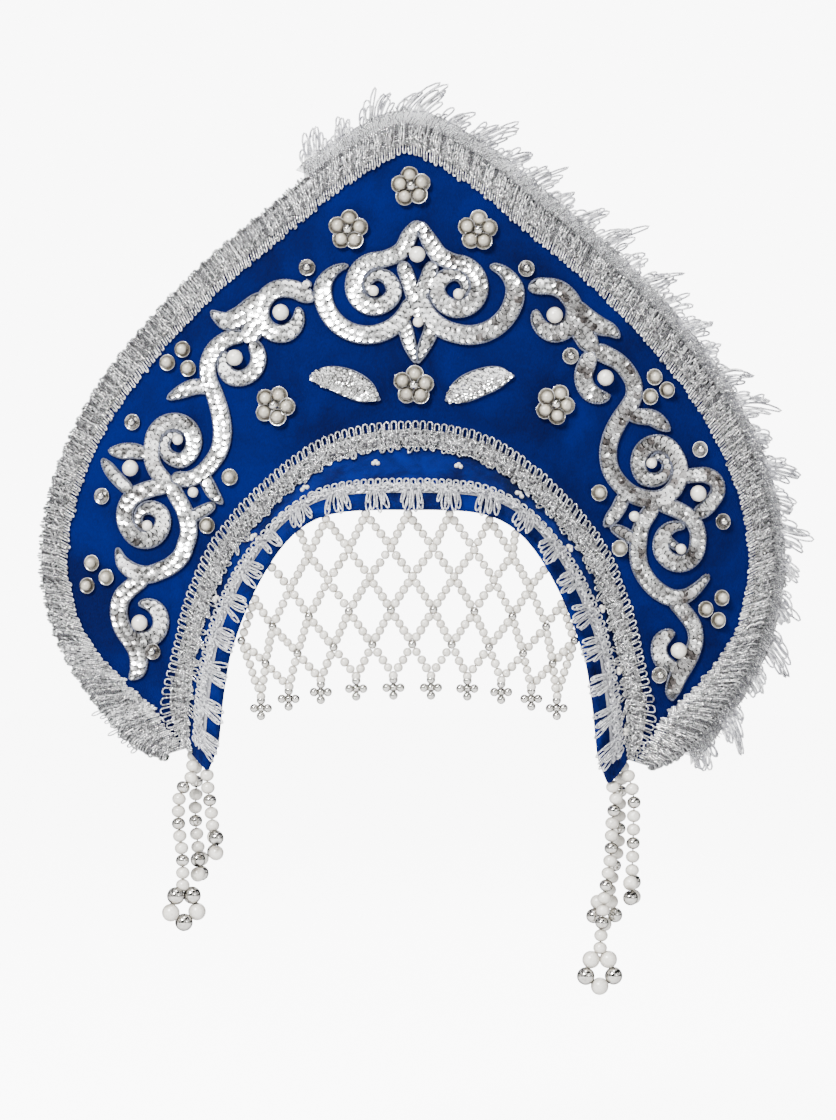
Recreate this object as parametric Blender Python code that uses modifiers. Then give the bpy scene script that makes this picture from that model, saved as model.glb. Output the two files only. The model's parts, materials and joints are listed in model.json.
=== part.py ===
"""Kokoshnik headdress.

A velour-covered card crest stands on a padded head band. Silver braid and a loop fringe edge it, sequin
scrolls, pearls, spangles and pearl flowers are sewn on it, lace edges the band, a bead net hangs over the
forehead and three bead strands hang from each leg.

Metres, +Z up. The front faces -Y and +X is the viewer's right. The origin is the top of the head opening,
on the inner side of the band, where the headdress sits on the head.

The crest and everything sewn on it are drawn flat, as the card is cut, and then bent round an upright axis
behind it. A flat point is (across, up) and its height is measured off the crest's face. A place on the
crest's field is (way, out): way runs from the left leg's tip at 0 over the top at 0.5 to the right leg's
tip at 1, and out is the share of the way from the arch at 0 to the crest's edge at 1.
"""

import math

import bmesh
import bpy
import numpy as np
from mathutils import Matrix

# Crest, measured flat
CREST_HALF_WIDTH = 0.175
CREST_HEIGHT = 0.176
CREST_THICKNESS = 0.004
CREST_BEND_RADIUS = 0.420
CREST_SETBACK = 0.030
LEG_DROP = 0.119
RIGHT_LEG_EXTRA = 0.006

# Arch of the crest and head opening inside the band
ARCH_HALF_WIDTH = 0.103
ARCH_HEIGHT = 0.0295
OPENING_HALF_WIDTH = 0.092
BAND_BEND_RADIUS = 0.140
BAND_WALL = 0.003
BAND_TAIL = 0.015

# Braid, lace and fringe. The braids widen towards the legs' tips, from TIP_START of the way down over
# TIP_RAMP of it, and the lace covers at most LACE_COVER of the band's slope.
BRAID_THICKNESS = 0.0018
EDGE_BRAID_WIDTH = 0.0125
EDGE_BRAID_TIP_WIDTH = 0.020
ARCH_BRAID_WIDTH = 0.0115
ARCH_BRAID_TIP_WIDTH = 0.0140
TIP_START = 0.78
TIP_RAMP = 0.14
LACE_THICKNESS = 0.0011
LACE_LIFT = 0.0006
LACE_WIDTH = 0.0165
LACE_COVER = 0.72
LACE_END_WAY = 0.012
LACE_FAN_DEPTH = 0.0085
FRINGE_THICKNESS = 0.0012
FRINGE_MESH = 0.0060
FRINGE_LOOP = 0.0130
FRINGE_LOCKS = 28
FRINGE_START_WAY = 0.435
FRINGE_END_WAY = 0.968

# Scrolls and what is sewn on the field. A pearl stands PEARL_STAND of its width off what carries it.
RIBBON_WIDTH = 0.0078
RIBBON_HEIGHT = 0.0018
RIBBON_LAYER = 0.00008
RIBBON_BEVEL = 0.0006
RIBBON_STEP = 0.0085
VOLUTE_STEP = 42
SCROLL_SIZE = math.sqrt(CREST_HALF_WIDTH * CREST_HEIGHT)
SMALL_PEARL = 0.0050
JEWEL = 0.0086
BIG_PEARL = 0.0076
PEARL_STAND = 0.9
SPANGLE = 0.0078
SPANGLE_HEIGHT = 0.0030
PETAL = 0.0080
FLOWER_BEAD = 0.0048
FLOWER_BEAD_HEIGHT = 0.0041
PETAL_RING = 0.0056
FLOWER_HEIGHT = 0.0034
LEAF_HEIGHT = 0.0016
LEAF_WIDTH = 0.0120

# Bead net over the forehead, its half width as a share of the opening's
NET_HALF_WIDTH = 0.83
NET_BEAD = 0.0036
NET_INSET = 0.0018
NET_SAG = 0.0145
NET_SWAY = 0.0020
NET_COLUMN_ANGLE = 0.189
CROSS_HALF_WIDTH = 0.0040
CROSS_HALF_HEIGHT = 0.0055

# Bead strands at the legs
STRAND_BEAD = 0.0060
DROP_BEAD = 0.0078

# Clearance between neighbours, and how finely round pieces are cut
GAP = 0.0003
WRAP_GAP = 0.0006
CREST_STEPS = 38
TIP_CROWDING = 0.4
FIELD_STEPS = 2
ROUND_SIDES = 10
PETAL_SIDES = 8
SMOOTH_ANGLE = math.radians(40)
FLAT_ANGLE = math.radians(1)

# Right half of the outlines, mirrored for the left. Sides are shares of the half width of the crest, the
# arch and the opening. Ups are shares of the crest's or the arch's height above the seat and of the leg's
# drop below it.
OUTLINES = (
    # way, crest side, crest up, arch side, arch up, opening side, opening up
    (0.500, 0.000, 1.000, 0.000, 1.000, 0.000, 0.000),
    (0.538, 0.160, 0.932, 0.136, 0.966, 0.141, 0.000),
    (0.590, 0.344, 0.793, 0.330, 0.780, 0.337, -0.010),
    (0.650, 0.547, 0.628, 0.525, 0.322, 0.500, -0.055),
    (0.708, 0.714, 0.463, 0.692, -0.059, 0.630, -0.147),
    (0.759, 0.852, 0.295, 0.812, -0.193, 0.734, -0.269),
    (0.800, 0.944, 0.128, 0.876, -0.311, 0.804, -0.378),
    (0.840, 0.994, -0.059, 0.925, -0.429, 0.859, -0.487),
    (0.865, 1.003, -0.218, 0.950, -0.517, 0.891, -0.563),
    (0.895, 0.972, -0.429, 0.972, -0.609, 0.913, -0.655),
    (0.925, 0.904, -0.622, 0.986, -0.681, 0.929, -0.739),
    (0.952, 0.797, -0.815, 0.996, -0.748, 0.940, -0.824),
    (0.978, 0.719, -0.916, 1.000, -0.832, 0.957, -0.916),
    (1.000, 0.648, -0.950, 1.000, -0.924, 1.000, -1.000),
)

# Volutes and crescents of the scrolls: centre on the field, radius as a share of the scrolls' size, start
# angle and turn in degrees (anticlockwise from the viewer's right), the radius at the start and at the end
# as shares, and the width at the start, in the middle and at the end as shares of the ribbon's width.
VOLUTES = {
    # name: way, out, radius, start, turn, first, last, width first, middle, last
    "center_spiral_left": (0.473, 0.530, 0.0541, 80, 400, 1.28, 0.46, 0.92, 1.00, 0.80),
    "center_spiral_right": (0.540, 0.549, 0.0558, 92, -410, 1.15, 0.46, 0.92, 1.06, 0.80),
    "center_crescent_left": (0.467, 0.527, 0.1174, 128, 222, 0.70, 1.00, 0.22, 1.02, 0.84),
    "center_crescent_right": (0.549, 0.564, 0.1231, 46, -232, 0.66, 1.07, 0.35, 1.10, 0.84),
    "left_link": (0.395, 0.632, 0.0564, 98, 278, 1.10, 0.78, 1.00, 1.00, 0.32),
    "left_curl_upper": (0.351, 0.598, 0.0536, 52, -258, 0.98, 0.68, 0.76, 0.90, 0.26),
    "left_spiral": (0.270, 0.548, 0.0536, 182, -385, 1.15, 0.46, 0.96, 0.96, 0.80),
    "left_ring": (0.208, 0.471, 0.0507, 128, 385, 1.38, 0.46, 1.02, 1.02, 0.76),
    "left_curl_lower": (0.131, 0.337, 0.0479, -132, 240, 1.08, 1.00, 0.85, 0.95, 0.30),
    "right_link": (0.619, 0.684, 0.0570, 104, -290, 1.22, 0.80, 0.92, 1.00, 0.45),
    "right_ring_upper": (0.675, 0.616, 0.0541, 112, 178, 1.26, 0.95, 0.98, 1.04, 0.38),
    "right_spiral": (0.751, 0.551, 0.0541, -75, 455, 1.66, 0.46, 1.00, 0.96, 0.78),
    "right_ring": (0.810, 0.471, 0.0530, 82, -372, 1.55, 0.86, 0.94, 0.98, 0.35),
    "right_curl": (0.889, 0.373, 0.0513, -88, -172, 0.82, 0.85, 0.86, 0.94, 0.48),
}

# Strokes of the scrolls. Each is a smooth line through a few places on the field, (way, out, width), where
# the width is a share of the ribbon's, and a volute's name stands for that volute's own points.
SCROLLS = {
    "scroll_center": (
        ((0.508, 0.708, 0.53), (0.501, 0.660, 0.88), (0.496, 0.618, 0.94), "center_spiral_left"),
        ((0.508, 0.706, 0.53), (0.517, 0.651, 0.94), (0.523, 0.626, 1.0), "center_spiral_right"),
        ((0.495, 0.579, 0.82), (0.502, 0.500, 0.82), (0.508, 0.402, 0.60)),
        ((0.520, 0.597, 0.82), (0.515, 0.530, 0.82), (0.508, 0.452, 0.82)),
        ("center_crescent_left",),
        ("center_crescent_right",),
        ((0.494, 0.413, 0.76), (0.498, 0.361, 0.82), (0.502, 0.313, 0.70), (0.508, 0.262, 0.25)),
        ((0.521, 0.413, 0.76), (0.520, 0.367, 0.82), (0.515, 0.316, 0.70), (0.509, 0.262, 0.25)),
    ),
    "scroll_left": (
        ((0.4215, 0.594, 0.55), (0.417, 0.628, 0.92), (0.410, 0.672, 1.0), "left_link"),
        ((0.388, 0.727, 1.10), (0.375, 0.728, 1.24), (0.363, 0.734, 1.18), (0.353, 0.758, 1.04),
         (0.348, 0.800, 0.65), (0.345, 0.840, 0.24)),
        ((0.380, 0.688, 1.06), (0.373, 0.661, 1.24), (0.366, 0.646, 1.24), (0.359, 0.645, 1.06)),
        ((0.418, 0.650, 0.76), (0.4195, 0.682, 0.65)),
        ((0.363, 0.651, 0.70), (0.348, 0.696, 0.88), (0.336, 0.702, 0.94), (0.327, 0.680, 0.94),
         (0.322, 0.636, 0.94), (0.320, 0.550, 0.98), (0.316, 0.458, 1.06), (0.310, 0.398, 1.06),
         (0.301, 0.360, 1.0), (0.287, 0.346, 0.94), (0.274, 0.352, 0.90), (0.262, 0.379, 0.88),
         (0.250, 0.455, 0.76)),
        ("left_curl_upper",),
        ((0.320, 0.572, 0.82), (0.314, 0.618, 0.82), (0.306, 0.652, 0.88), (0.294, 0.684, 0.70),
         (0.284, 0.708, 0.25)),
        ((0.245, 0.441, 0.94), (0.243, 0.510, 0.94), (0.245, 0.574, 0.94), "left_spiral"),
        ((0.246, 0.620, 0.72), (0.239, 0.692, 0.88), (0.233, 0.739, 0.88), (0.226, 0.803, 0.30)),
        ((0.217, 0.600, 0.76), (0.217, 0.645, 0.76), (0.217, 0.710, 0.76), (0.218, 0.768, 0.66),
         (0.219, 0.815, 0.25)),
        ((0.247, 0.436, 0.88), (0.238, 0.475, 0.92), (0.229, 0.522, 0.96), "left_ring"),
        ((0.246, 0.446, 0.94), (0.243, 0.385, 0.94), (0.241, 0.331, 0.94), (0.236, 0.273, 1.0),
         (0.228, 0.237, 1.0), (0.218, 0.226, 1.0), (0.206, 0.224, 1.0), (0.192, 0.254, 1.0),
         (0.180, 0.303, 1.0), (0.170, 0.365, 1.0), (0.166, 0.438, 0.94), (0.167, 0.512, 0.80),
         (0.175, 0.566, 0.25)),
        ((0.275, 0.359, 0.70), (0.274, 0.303, 0.76), (0.273, 0.250, 0.74), (0.275, 0.180, 0.25)),
        ((0.237, 0.275, 0.70), (0.254, 0.233, 0.70), (0.268, 0.206, 0.50)),
        ((0.169, 0.360, 0.90), (0.153, 0.438, 1.0), (0.141, 0.487, 1.06), (0.128, 0.501, 1.06),
         (0.118, 0.481, 1.06), (0.111, 0.430, 1.12), (0.104, 0.397, 1.12), (0.093, 0.396, 1.08),
         (0.082, 0.435, 0.95), (0.073, 0.535, 0.30)),
        ("left_curl_lower",),
    ),
    "scroll_right": (
        ((0.5965, 0.697, 0.62), (0.602, 0.728, 0.90), "right_link"),
        ((0.630, 0.769, 0.88), (0.645, 0.763, 1.06), (0.655, 0.772, 1.04), (0.665, 0.796, 0.75),
         (0.673, 0.800, 0.30)),
        ((0.634, 0.690, 1.10), (0.644, 0.698, 1.24), (0.652, 0.684, 1.24), (0.660, 0.675, 1.10)),
        ((0.657, 0.674, 1.04), (0.669, 0.697, 1.02), (0.681, 0.717, 0.96), (0.691, 0.716, 0.96),
         (0.700, 0.698, 0.96), (0.705, 0.654, 0.98), (0.705, 0.594, 1.0), (0.704, 0.530, 1.0),
         (0.705, 0.455, 1.0), (0.710, 0.391, 1.0), (0.720, 0.350, 1.0), (0.734, 0.341, 1.0),
         (0.748, 0.358, 1.0), "right_spiral"),
        ("right_ring_upper",),
        ((0.706, 0.580, 0.80), (0.718, 0.624, 0.88), (0.725, 0.659, 0.92), (0.735, 0.681, 0.80),
         (0.743, 0.693, 0.30)),
        ((0.772, 0.610, 0.76), (0.779, 0.690, 0.82), (0.785, 0.744, 0.88), (0.792, 0.775, 0.88),
         (0.798, 0.767, 0.88), (0.801, 0.722, 0.88), (0.802, 0.664, 0.88), (0.800, 0.600, 0.84)),
        ((0.769, 0.445, 0.94), (0.778, 0.481, 0.94), "right_ring"),
        ((0.790, 0.420, 0.50), (0.802, 0.425, 0.48), (0.814, 0.463, 0.42)),
        ((0.744, 0.334, 0.82), (0.748, 0.255, 0.82), (0.748, 0.200, 0.70), (0.747, 0.160, 0.30)),
        ((0.781, 0.261, 0.76), (0.765, 0.218, 0.70), (0.753, 0.186, 0.45)),
        ((0.772, 0.441, 0.90), (0.773, 0.375, 0.94), (0.776, 0.321, 0.94), (0.783, 0.279, 1.0),
         (0.792, 0.248, 1.0), (0.802, 0.235, 1.0), (0.819, 0.248, 1.0), (0.836, 0.296, 1.0),
         (0.847, 0.365, 0.94), (0.851, 0.440, 0.82), (0.850, 0.508, 0.65), (0.846, 0.592, 0.36)),
        ((0.845, 0.350, 0.88), (0.863, 0.422, 0.94), (0.876, 0.477, 0.94), (0.886, 0.500, 0.90),
         (0.896, 0.490, 0.95), (0.905, 0.458, 1.04), (0.913, 0.424, 1.08), (0.923, 0.413, 1.00),
         (0.931, 0.424, 0.76), (0.936, 0.455, 0.36)),
        ("right_curl",),
    ),
}

# Leaves of fine sequins: smooth lines through places on the field, with the width as a share of the leaf's.
LEAVES = {
    "leaf_left": ((0.405, 0.343, 0.20), (0.420, 0.307, 0.74), (0.438, 0.254, 1.0), (0.455, 0.200, 0.86),
                  (0.470, 0.156, 0.20)),
    "leaf_right": ((0.540, 0.162, 0.20), (0.554, 0.208, 0.86), (0.572, 0.270, 1.0), (0.589, 0.326, 0.76),
                   (0.602, 0.362, 0.20)),
}

# Stones by their place on the field, (way, out). A flower also has the turn of its first petal in degrees.
FLOWERS = ((0.502, 0.813, 95), (0.457, 0.752, 85), (0.550, 0.767, 87), (0.506, 0.190, 86), (0.366, 0.330, 68),
           (0.645, 0.371, 65))
BIG_PEARLS = ((0.507, 0.602), (0.395, 0.631), (0.349, 0.606), (0.230, 0.652), (0.129, 0.354), (0.620, 0.673),
              (0.676, 0.616), (0.789, 0.654), (0.890, 0.373))
SMALL_PEARLS = {
    "scroll_center": ((0.472, 0.515), (0.541, 0.527), (0.509, 0.391)),
    "scroll_left": ((0.274, 0.537), (0.207, 0.443)),
    "scroll_right": ((0.746, 0.521), (0.814, 0.463)),
}
LOOSE_SMALL_PEARLS = ((0.258, 0.323), (0.764, 0.310))
BEAD_SPANGLES = ((0.422, 0.720), (0.591, 0.761), (0.252, 0.774), (0.200, 0.736), (0.107, 0.281), (0.643, 0.583),
                 (0.769, 0.773), (0.818, 0.738), (0.909, 0.262))
PEARL_SPANGLES = ((0.313, 0.809), (0.298, 0.821), (0.310, 0.728), (0.296, 0.236), (0.248, 0.177),
                  (0.154, 0.694), (0.150, 0.594), (0.137, 0.709), (0.711, 0.797), (0.724, 0.804),
                  (0.716, 0.720), (0.723, 0.236), (0.775, 0.173), (0.866, 0.660), (0.868, 0.554),
                  (0.880, 0.646))

# Turned profiles, outer side from the top down: radius and height as shares of the stone's radius and height
PEARL_PROFILE = ((0.0, 1.0), (0.72, 0.82), (1.0, 0.42), (0.62, 0.0), (0.0, 0.0))
BEAD_PROFILE = ((0.0, 1.0), (0.80, 0.72), (0.92, 0.0), (0.0, 0.0))
JEWEL_PROFILE = ((0.0, 1.0), (0.50, 0.66), (1.0, 0.32), (1.0, 0.0), (0.0, 0.0))
SPANGLE_PROFILE = ((0.0, 1.0), (0.44, 0.66), (1.0, 0.30), (0.90, 0.0), (0.0, 0.0))
PETAL_PROFILE = ((0.0, 1.0), (0.62, 0.70), (1.0, 0.0), (0.0, 0.0))

# Lock lengths of the fringe, repeated along it, as shares of the fringe's loop
LOCK_LENGTHS = (0.95, 0.55, 0.80, 1.20, 0.62, 1.05, 0.70)

# Rows of the bead net below the seat: depth as a share of the leg's drop, number of knots and how far the row
# gathers inward. The ways are the places on the right half where the net's top thread is sewn to the band.
NET_ROWS = (
    # depth, knots, gather
    (0.147, 6, 1.00),
    (0.255, 7, 1.00),
    (0.382, 10, 1.00),
    (0.513, 9, 0.94),
    (0.632, 10, 0.885),
)
NET_SEWN_WAYS = (0.500, 0.555, 0.614, 0.668, 0.737, 0.785)

# Routes of the bead strands, kept as they hang: across, back and up in metres from the leg's tip down, then
# the centre of the ring of drop beads that ends the strand, its turn about the upright axis and its radius.
STRANDS = {
    "pendant_left_long": (
        ((-0.0995, 0.0385, -0.1153), (-0.1000, 0.0385, -0.1230), (-0.1045, 0.0370, -0.1290),
         (-0.1060, 0.0365, -0.1430), (-0.1042, 0.0365, -0.1600), (-0.1040, 0.0365, -0.1760)),
        (-0.1035, 0.0365, -0.1835), 25, 0.0062),
    "pendant_left_middle": (
        ((-0.1000, 0.0480, -0.1106), (-0.0985, 0.0475, -0.1250), (-0.0990, 0.0480, -0.1400),
         (-0.0975, 0.0485, -0.1595)),
        (-0.0970, 0.0485, -0.1655), 80, 0.0044),
    "pendant_left_short": (
        ((-0.0930, 0.0360, -0.1194), (-0.0925, 0.0362, -0.1275), (-0.0910, 0.0362, -0.1380),
         (-0.0900, 0.0360, -0.1485)),
        (-0.0890, 0.0360, -0.1545), 100, 0.0044),
    "pendant_right_long": (
        ((0.0935, 0.0363, -0.1250), (0.0960, 0.0370, -0.1320), (0.0945, 0.0370, -0.1420),
         (0.0935, 0.0365, -0.1600), (0.0905, 0.0365, -0.1800), (0.0885, 0.0365, -0.2050)),
        (0.0885, 0.0365, -0.2130), 5, 0.0062),
    "pendant_right_middle": (
        ((0.1000, 0.0480, -0.1162), (0.0985, 0.0475, -0.1330), (0.0975, 0.0475, -0.1560),
         (0.0930, 0.0475, -0.1790)),
        (0.0912, 0.0475, -0.1865), 20, 0.0052),
    "pendant_right_short": (
        ((0.1010, 0.0390, -0.1199), (0.1042, 0.0385, -0.1320), (0.1042, 0.0380, -0.1450),
         (0.1035, 0.0380, -0.1695)),
        (0.1035, 0.0380, -0.1755), 75, 0.0044),
}

PARTS = bpy.data.collections.new("kokoshnik_headdress")
CUTTERS = bpy.data.collections.new("cutters")


def spline(at, ways, values):
    """Smooth curve through the rows of values at the given ways, with slopes from the neighbouring rows."""
    at = np.atleast_1d(np.asarray(at, float))
    span = np.diff(ways)
    rise = np.diff(values, axis=0) / span[:, None]
    slope = np.concatenate([rise[:1], (rise[:-1] * span[1:, None] + rise[1:] * span[:-1, None])
                            / (span[1:] + span[:-1])[:, None], rise[-1:]])
    i = np.clip(np.searchsorted(ways, at, side="right") - 1, 0, len(ways) - 2)
    s = ((at - ways[i]) / span[i])[:, None]
    h = span[i][:, None]
    return ((2 * s**3 - 3 * s**2 + 1) * values[i] + (s**3 - 2 * s**2 + s) * h * slope[i]
            + (3 * s**2 - 2 * s**3) * values[i + 1] + (s**3 - s**2) * h * slope[i + 1])


def full_outlines():
    """Ways and the flat crest edge, flat arch edge and opening edge, in metres, for both halves."""
    rows = np.array(OUTLINES)
    sides = rows[:, 1::2] * (CREST_HALF_WIDTH, ARCH_HALF_WIDTH, OPENING_HALF_WIDTH)
    shares = rows[:, 2::2]
    heights = np.array((CREST_HEIGHT, ARCH_HEIGHT, 1.0))
    right = np.where(shares < 0, shares * (LEG_DROP + RIGHT_LEG_EXTRA), shares * heights)
    left = np.where(shares < 0, shares * LEG_DROP, shares * heights)
    ways = np.concatenate([1 - rows[:0:-1, 0], rows[:, 0]])
    across = np.concatenate([-sides[:0:-1], sides])
    up = np.concatenate([left[:0:-1], right])
    return ways, np.stack([across, up], axis=2).reshape(len(ways), 6)


WAYS, EDGES = full_outlines()


def outlines(way):
    """Crest edge, arch edge and opening edge at the ways, each an array of (across, up)."""
    values = spline(way, WAYS, EDGES)
    return values[:, 0:2], values[:, 2:4], values[:, 4:6]


def edge_normals(way, which):
    """Outward unit normals of the crest edge (0), the arch edge (1) or the opening edge (2)."""
    small = 0.0005
    way = np.atleast_1d(way)
    ahead = outlines(np.minimum(way + small, 1.0))[which]
    behind = outlines(np.maximum(way - small, 0.0))[which]
    along = ahead - behind
    along /= np.linalg.norm(along, axis=1)[:, None]
    return np.stack([-along[:, 1], along[:, 0]], axis=1)


def field(way, out):
    """Flat place of (way, out) on the crest."""
    crest, arch, _ = outlines(way)
    return arch + (crest - arch) * np.atleast_1d(out)[:, None]


def bent(flat, height=0.0):
    """World places of flat crest points at a height off the crest's face."""
    flat = np.asarray(flat, float)
    turn = flat[:, 0] / CREST_BEND_RADIUS
    radius = CREST_BEND_RADIUS + height
    return np.stack([radius * np.sin(turn), CREST_SETBACK + CREST_BEND_RADIUS - radius * np.cos(turn),
                     flat[:, 1]], axis=1)


def front_depth(across):
    """How far back the front edge of the band lies at a distance from the middle."""
    return BAND_BEND_RADIUS - np.sqrt(BAND_BEND_RADIUS**2 - np.square(across))


def crest_ways():
    """Ways of the crest's steps, closer together towards the tips of the legs."""
    even = np.linspace(0, 1, CREST_STEPS + 1)
    return even - TIP_CROWDING * np.sin(2 * math.pi * even) / (2 * math.pi)


def braid_shares(way, clear=0.0):
    """Shares of the field's width that the arch braid and the edge braid take at the ways, with a clear strip."""
    crest, arch, _ = outlines(way)
    across = crest - arch
    tip = np.clip((np.abs(2 * way - 1) - TIP_START) / TIP_RAMP, 0, 1)
    arch_width = ARCH_BRAID_WIDTH + (ARCH_BRAID_TIP_WIDTH - ARCH_BRAID_WIDTH) * tip
    edge_width = EDGE_BRAID_WIDTH + (EDGE_BRAID_TIP_WIDTH - EDGE_BRAID_WIDTH) * tip
    near = (arch_width + clear) / np.sum(across * edge_normals(way, 1), axis=1)
    far = (edge_width + clear) / np.sum(across * edge_normals(way, 0), axis=1)
    both = near + far + 2 * GAP / np.linalg.norm(across, axis=1)
    crowd = np.maximum(both, 1.0)
    return near / crowd, far / crowd


def stone_place(way, out, size):
    """Flat place of a stone of a size on the field, kept clear of both braids."""
    near, far = braid_shares(way, size / 2 + GAP)
    return field(way, np.clip(out, near, 1 - far))


def material(name, color, roughness, metallic=0.0):
    """Principled material of one sub-part."""
    made = bpy.data.materials.new(name)
    made.use_nodes = True
    shader = made.node_tree.nodes["Principled BSDF"]
    shader.inputs["Base Color"].default_value = (*color, 1.0)
    shader.inputs["Roughness"].default_value = roughness
    shader.inputs["Metallic"].default_value = metallic
    return made


def add_object(name, mesh, color_of, collection=PARTS):
    """Object of a mesh in the headdress, with its material."""
    made = bpy.data.objects.new(name, mesh)
    collection.objects.link(made)
    if not mesh.materials:
        mesh.materials.append(color_of)
    return made


def evaluated_mesh(source, name):
    """Mesh of an object with its modifiers applied; the object is removed."""
    graph = bpy.context.evaluated_depsgraph_get()
    mesh = bpy.data.meshes.new_from_object(source.evaluated_get(graph))
    mesh.name = name
    bpy.data.objects.remove(source)
    return mesh


def loft(sections, ends=True):
    """Points and faces of a closed skin through equal rings of points, with flat ends."""
    count, ring = sections.shape[:2]
    faces = [(i * ring + j, i * ring + (j + 1) % ring, (i + 1) * ring + (j + 1) % ring, (i + 1) * ring + j)
             for i in range(count - 1) for j in range(ring)]
    if ends:
        faces.append(tuple(range(ring - 1, -1, -1)))
        faces.append(tuple(range((count - 1) * ring, count * ring)))
    return sections.reshape(-1, 3), faces


def mesh_of(name, points, faces):
    """Mesh with its faces turned outward."""
    mesh = bpy.data.meshes.new(name)
    mesh.from_pydata(np.asarray(points).tolist(), [], faces)
    work = bmesh.new()
    work.from_mesh(mesh)
    bmesh.ops.recalc_face_normals(work, faces=work.faces)
    work.to_mesh(mesh)
    work.free()
    return mesh


def joined(name, pieces):
    """One mesh of several loose closed pieces, each given as points and faces."""
    points, faces, start = [], [], 0
    for piece_points, piece_faces in pieces:
        points.append(piece_points)
        faces += [tuple(start + corner for corner in face) for face in piece_faces]
        start += len(piece_points)
    return mesh_of(name, np.concatenate(points), faces)


def boolean(target, tool, operation):
    """Boolean modifier that also resolves overlaps inside each mesh."""
    cut = target.modifiers.new(operation.lower(), "BOOLEAN")
    cut.operation = operation
    cut.solver = "EXACT"
    cut.use_self = True
    cut.object = tool


def bend_mesh(mesh):
    """Bend a mesh drawn flat: x across, z up and -y the height off the crest's face."""
    points = np.empty(len(mesh.vertices) * 3)
    mesh.vertices.foreach_get("co", points)
    points = points.reshape(-1, 3)
    points = bent(points[:, (0, 2)], -points[:, 1])
    mesh.vertices.foreach_set("co", points.ravel())
    mesh.update()


def turned_mesh(name, profile, radius, height, sides=ROUND_SIDES):
    """Turned stone standing on its origin along +Z, by a Screw of its profile."""
    mesh = bpy.data.meshes.new(name + "_profile")
    points = [(across * radius, 0.0, up * height) for across, up in profile]
    mesh.from_pydata(points, [(i, i + 1) for i in range(len(points) - 1)], [])
    turned = bpy.data.objects.new(name + "_profile", mesh)
    PARTS.objects.link(turned)
    screw = turned.modifiers.new("turn", "SCREW")
    screw.steps = screw.render_steps = sides
    screw.use_merge_vertices = True
    screw.merge_threshold = 0.00001
    made = evaluated_mesh(turned, name)
    work = bmesh.new()
    work.from_mesh(made)
    bmesh.ops.recalc_face_normals(work, faces=work.faces)
    bmesh.ops.dissolve_limit(work, angle_limit=FLAT_ANGLE, verts=work.verts, edges=work.edges)
    work.to_mesh(made)
    work.free()
    made.shade_smooth()
    made.set_sharp_from_angle(angle=SMOOTH_ANGLE)
    return made


def mesh_piece(mesh, place=(0.0, 0.0, 0.0)):
    """Points and faces of a turned mesh stood on the flat crest, its +Z off the face, at (across, height, up)."""
    points = np.empty(len(mesh.vertices) * 3)
    mesh.vertices.foreach_get("co", points)
    points = points.reshape(-1, 3)
    flat = np.stack([points[:, 0] + place[0], -points[:, 2] - place[1], points[:, 1] + place[2]], axis=1)
    return flat, [tuple(face.vertices) for face in mesh.polygons]


def seat_stone(name, mesh, color_of, way, out, size, turn=0.0):
    """Stone of a size on the crest's face at (way, out), standing square to it."""
    flat = stone_place(way, out, size)
    stone = add_object(name, mesh, color_of)
    stone.location = bent(flat, GAP)[0]
    stone.rotation_euler = (math.radians(90), math.radians(-turn), flat[0, 0] / CREST_BEND_RADIUS)
    stone.rotation_mode = "XYZ"
    return stone


# Crest and band


def crest_board(cloth):
    """Velour-covered card between the arch and the crest's edge."""
    way = crest_ways()
    out = np.linspace(0, 1, FIELD_STEPS + 1)
    grid_way, grid_out = np.meshgrid(way, out, indexing="ij")
    points = bent(field(grid_way.ravel(), grid_out.ravel()))
    row = FIELD_STEPS + 1
    faces = [(i * row + j, (i + 1) * row + j, (i + 1) * row + j + 1, i * row + j + 1)
             for i in range(CREST_STEPS) for j in range(FIELD_STEPS)]
    mesh = bpy.data.meshes.new("crest_board")
    mesh.from_pydata(points.tolist(), [], faces)
    board = add_object("crest_board", mesh, cloth)
    card = board.modifiers.new("card", "SOLIDIFY")
    card.thickness = CREST_THICKNESS
    card.offset = -1.0
    card.use_even_offset = True


def band_lines(way):
    """Inner side of the band: its front edge, its corner at the crest and its rear edge."""
    _, arch, opening = outlines(way)
    inner = arch - edge_normals(way, 1) * (GAP + BAND_WALL)
    front = np.stack([opening[:, 0], front_depth(opening[:, 0]), opening[:, 1]], axis=1)
    corner = bent(inner, -GAP)
    rear = bent(inner, -CREST_THICKNESS - BAND_TAIL)
    return front, corner, rear


def head_band(velvet):
    """Padded velvet band round the head opening: a sloping front and a tail behind the crest."""
    lines = np.stack(band_lines(crest_ways()), axis=1)
    row = lines.shape[1]
    faces = [(i * row + j, (i + 1) * row + j, (i + 1) * row + j + 1, i * row + j + 1)
             for i in range(CREST_STEPS) for j in range(row - 1)]
    mesh = bpy.data.meshes.new("head_band")
    mesh.from_pydata(lines.reshape(-1, 3).tolist(), [], faces)
    band = add_object("head_band", mesh, velvet)
    wall = band.modifiers.new("wall", "SOLIDIFY")
    wall.thickness = BAND_WALL
    wall.offset = 1.0
    wall.use_even_offset = True


# Braid, lace and fringe


def arch_braid(silver):
    """Braid round the arch, flat on the crest's face."""
    way = crest_ways()
    near, _ = braid_shares(way)
    inner, outer = field(way, np.zeros(len(way))), field(way, near)
    low, high = GAP, GAP + BRAID_THICKNESS
    ring = np.stack([bent(inner, low), bent(inner, high), bent(outer, high), bent(outer, low)], axis=1)
    add_object("arch_braid", mesh_of("arch_braid", *loft(ring)), silver)


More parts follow.
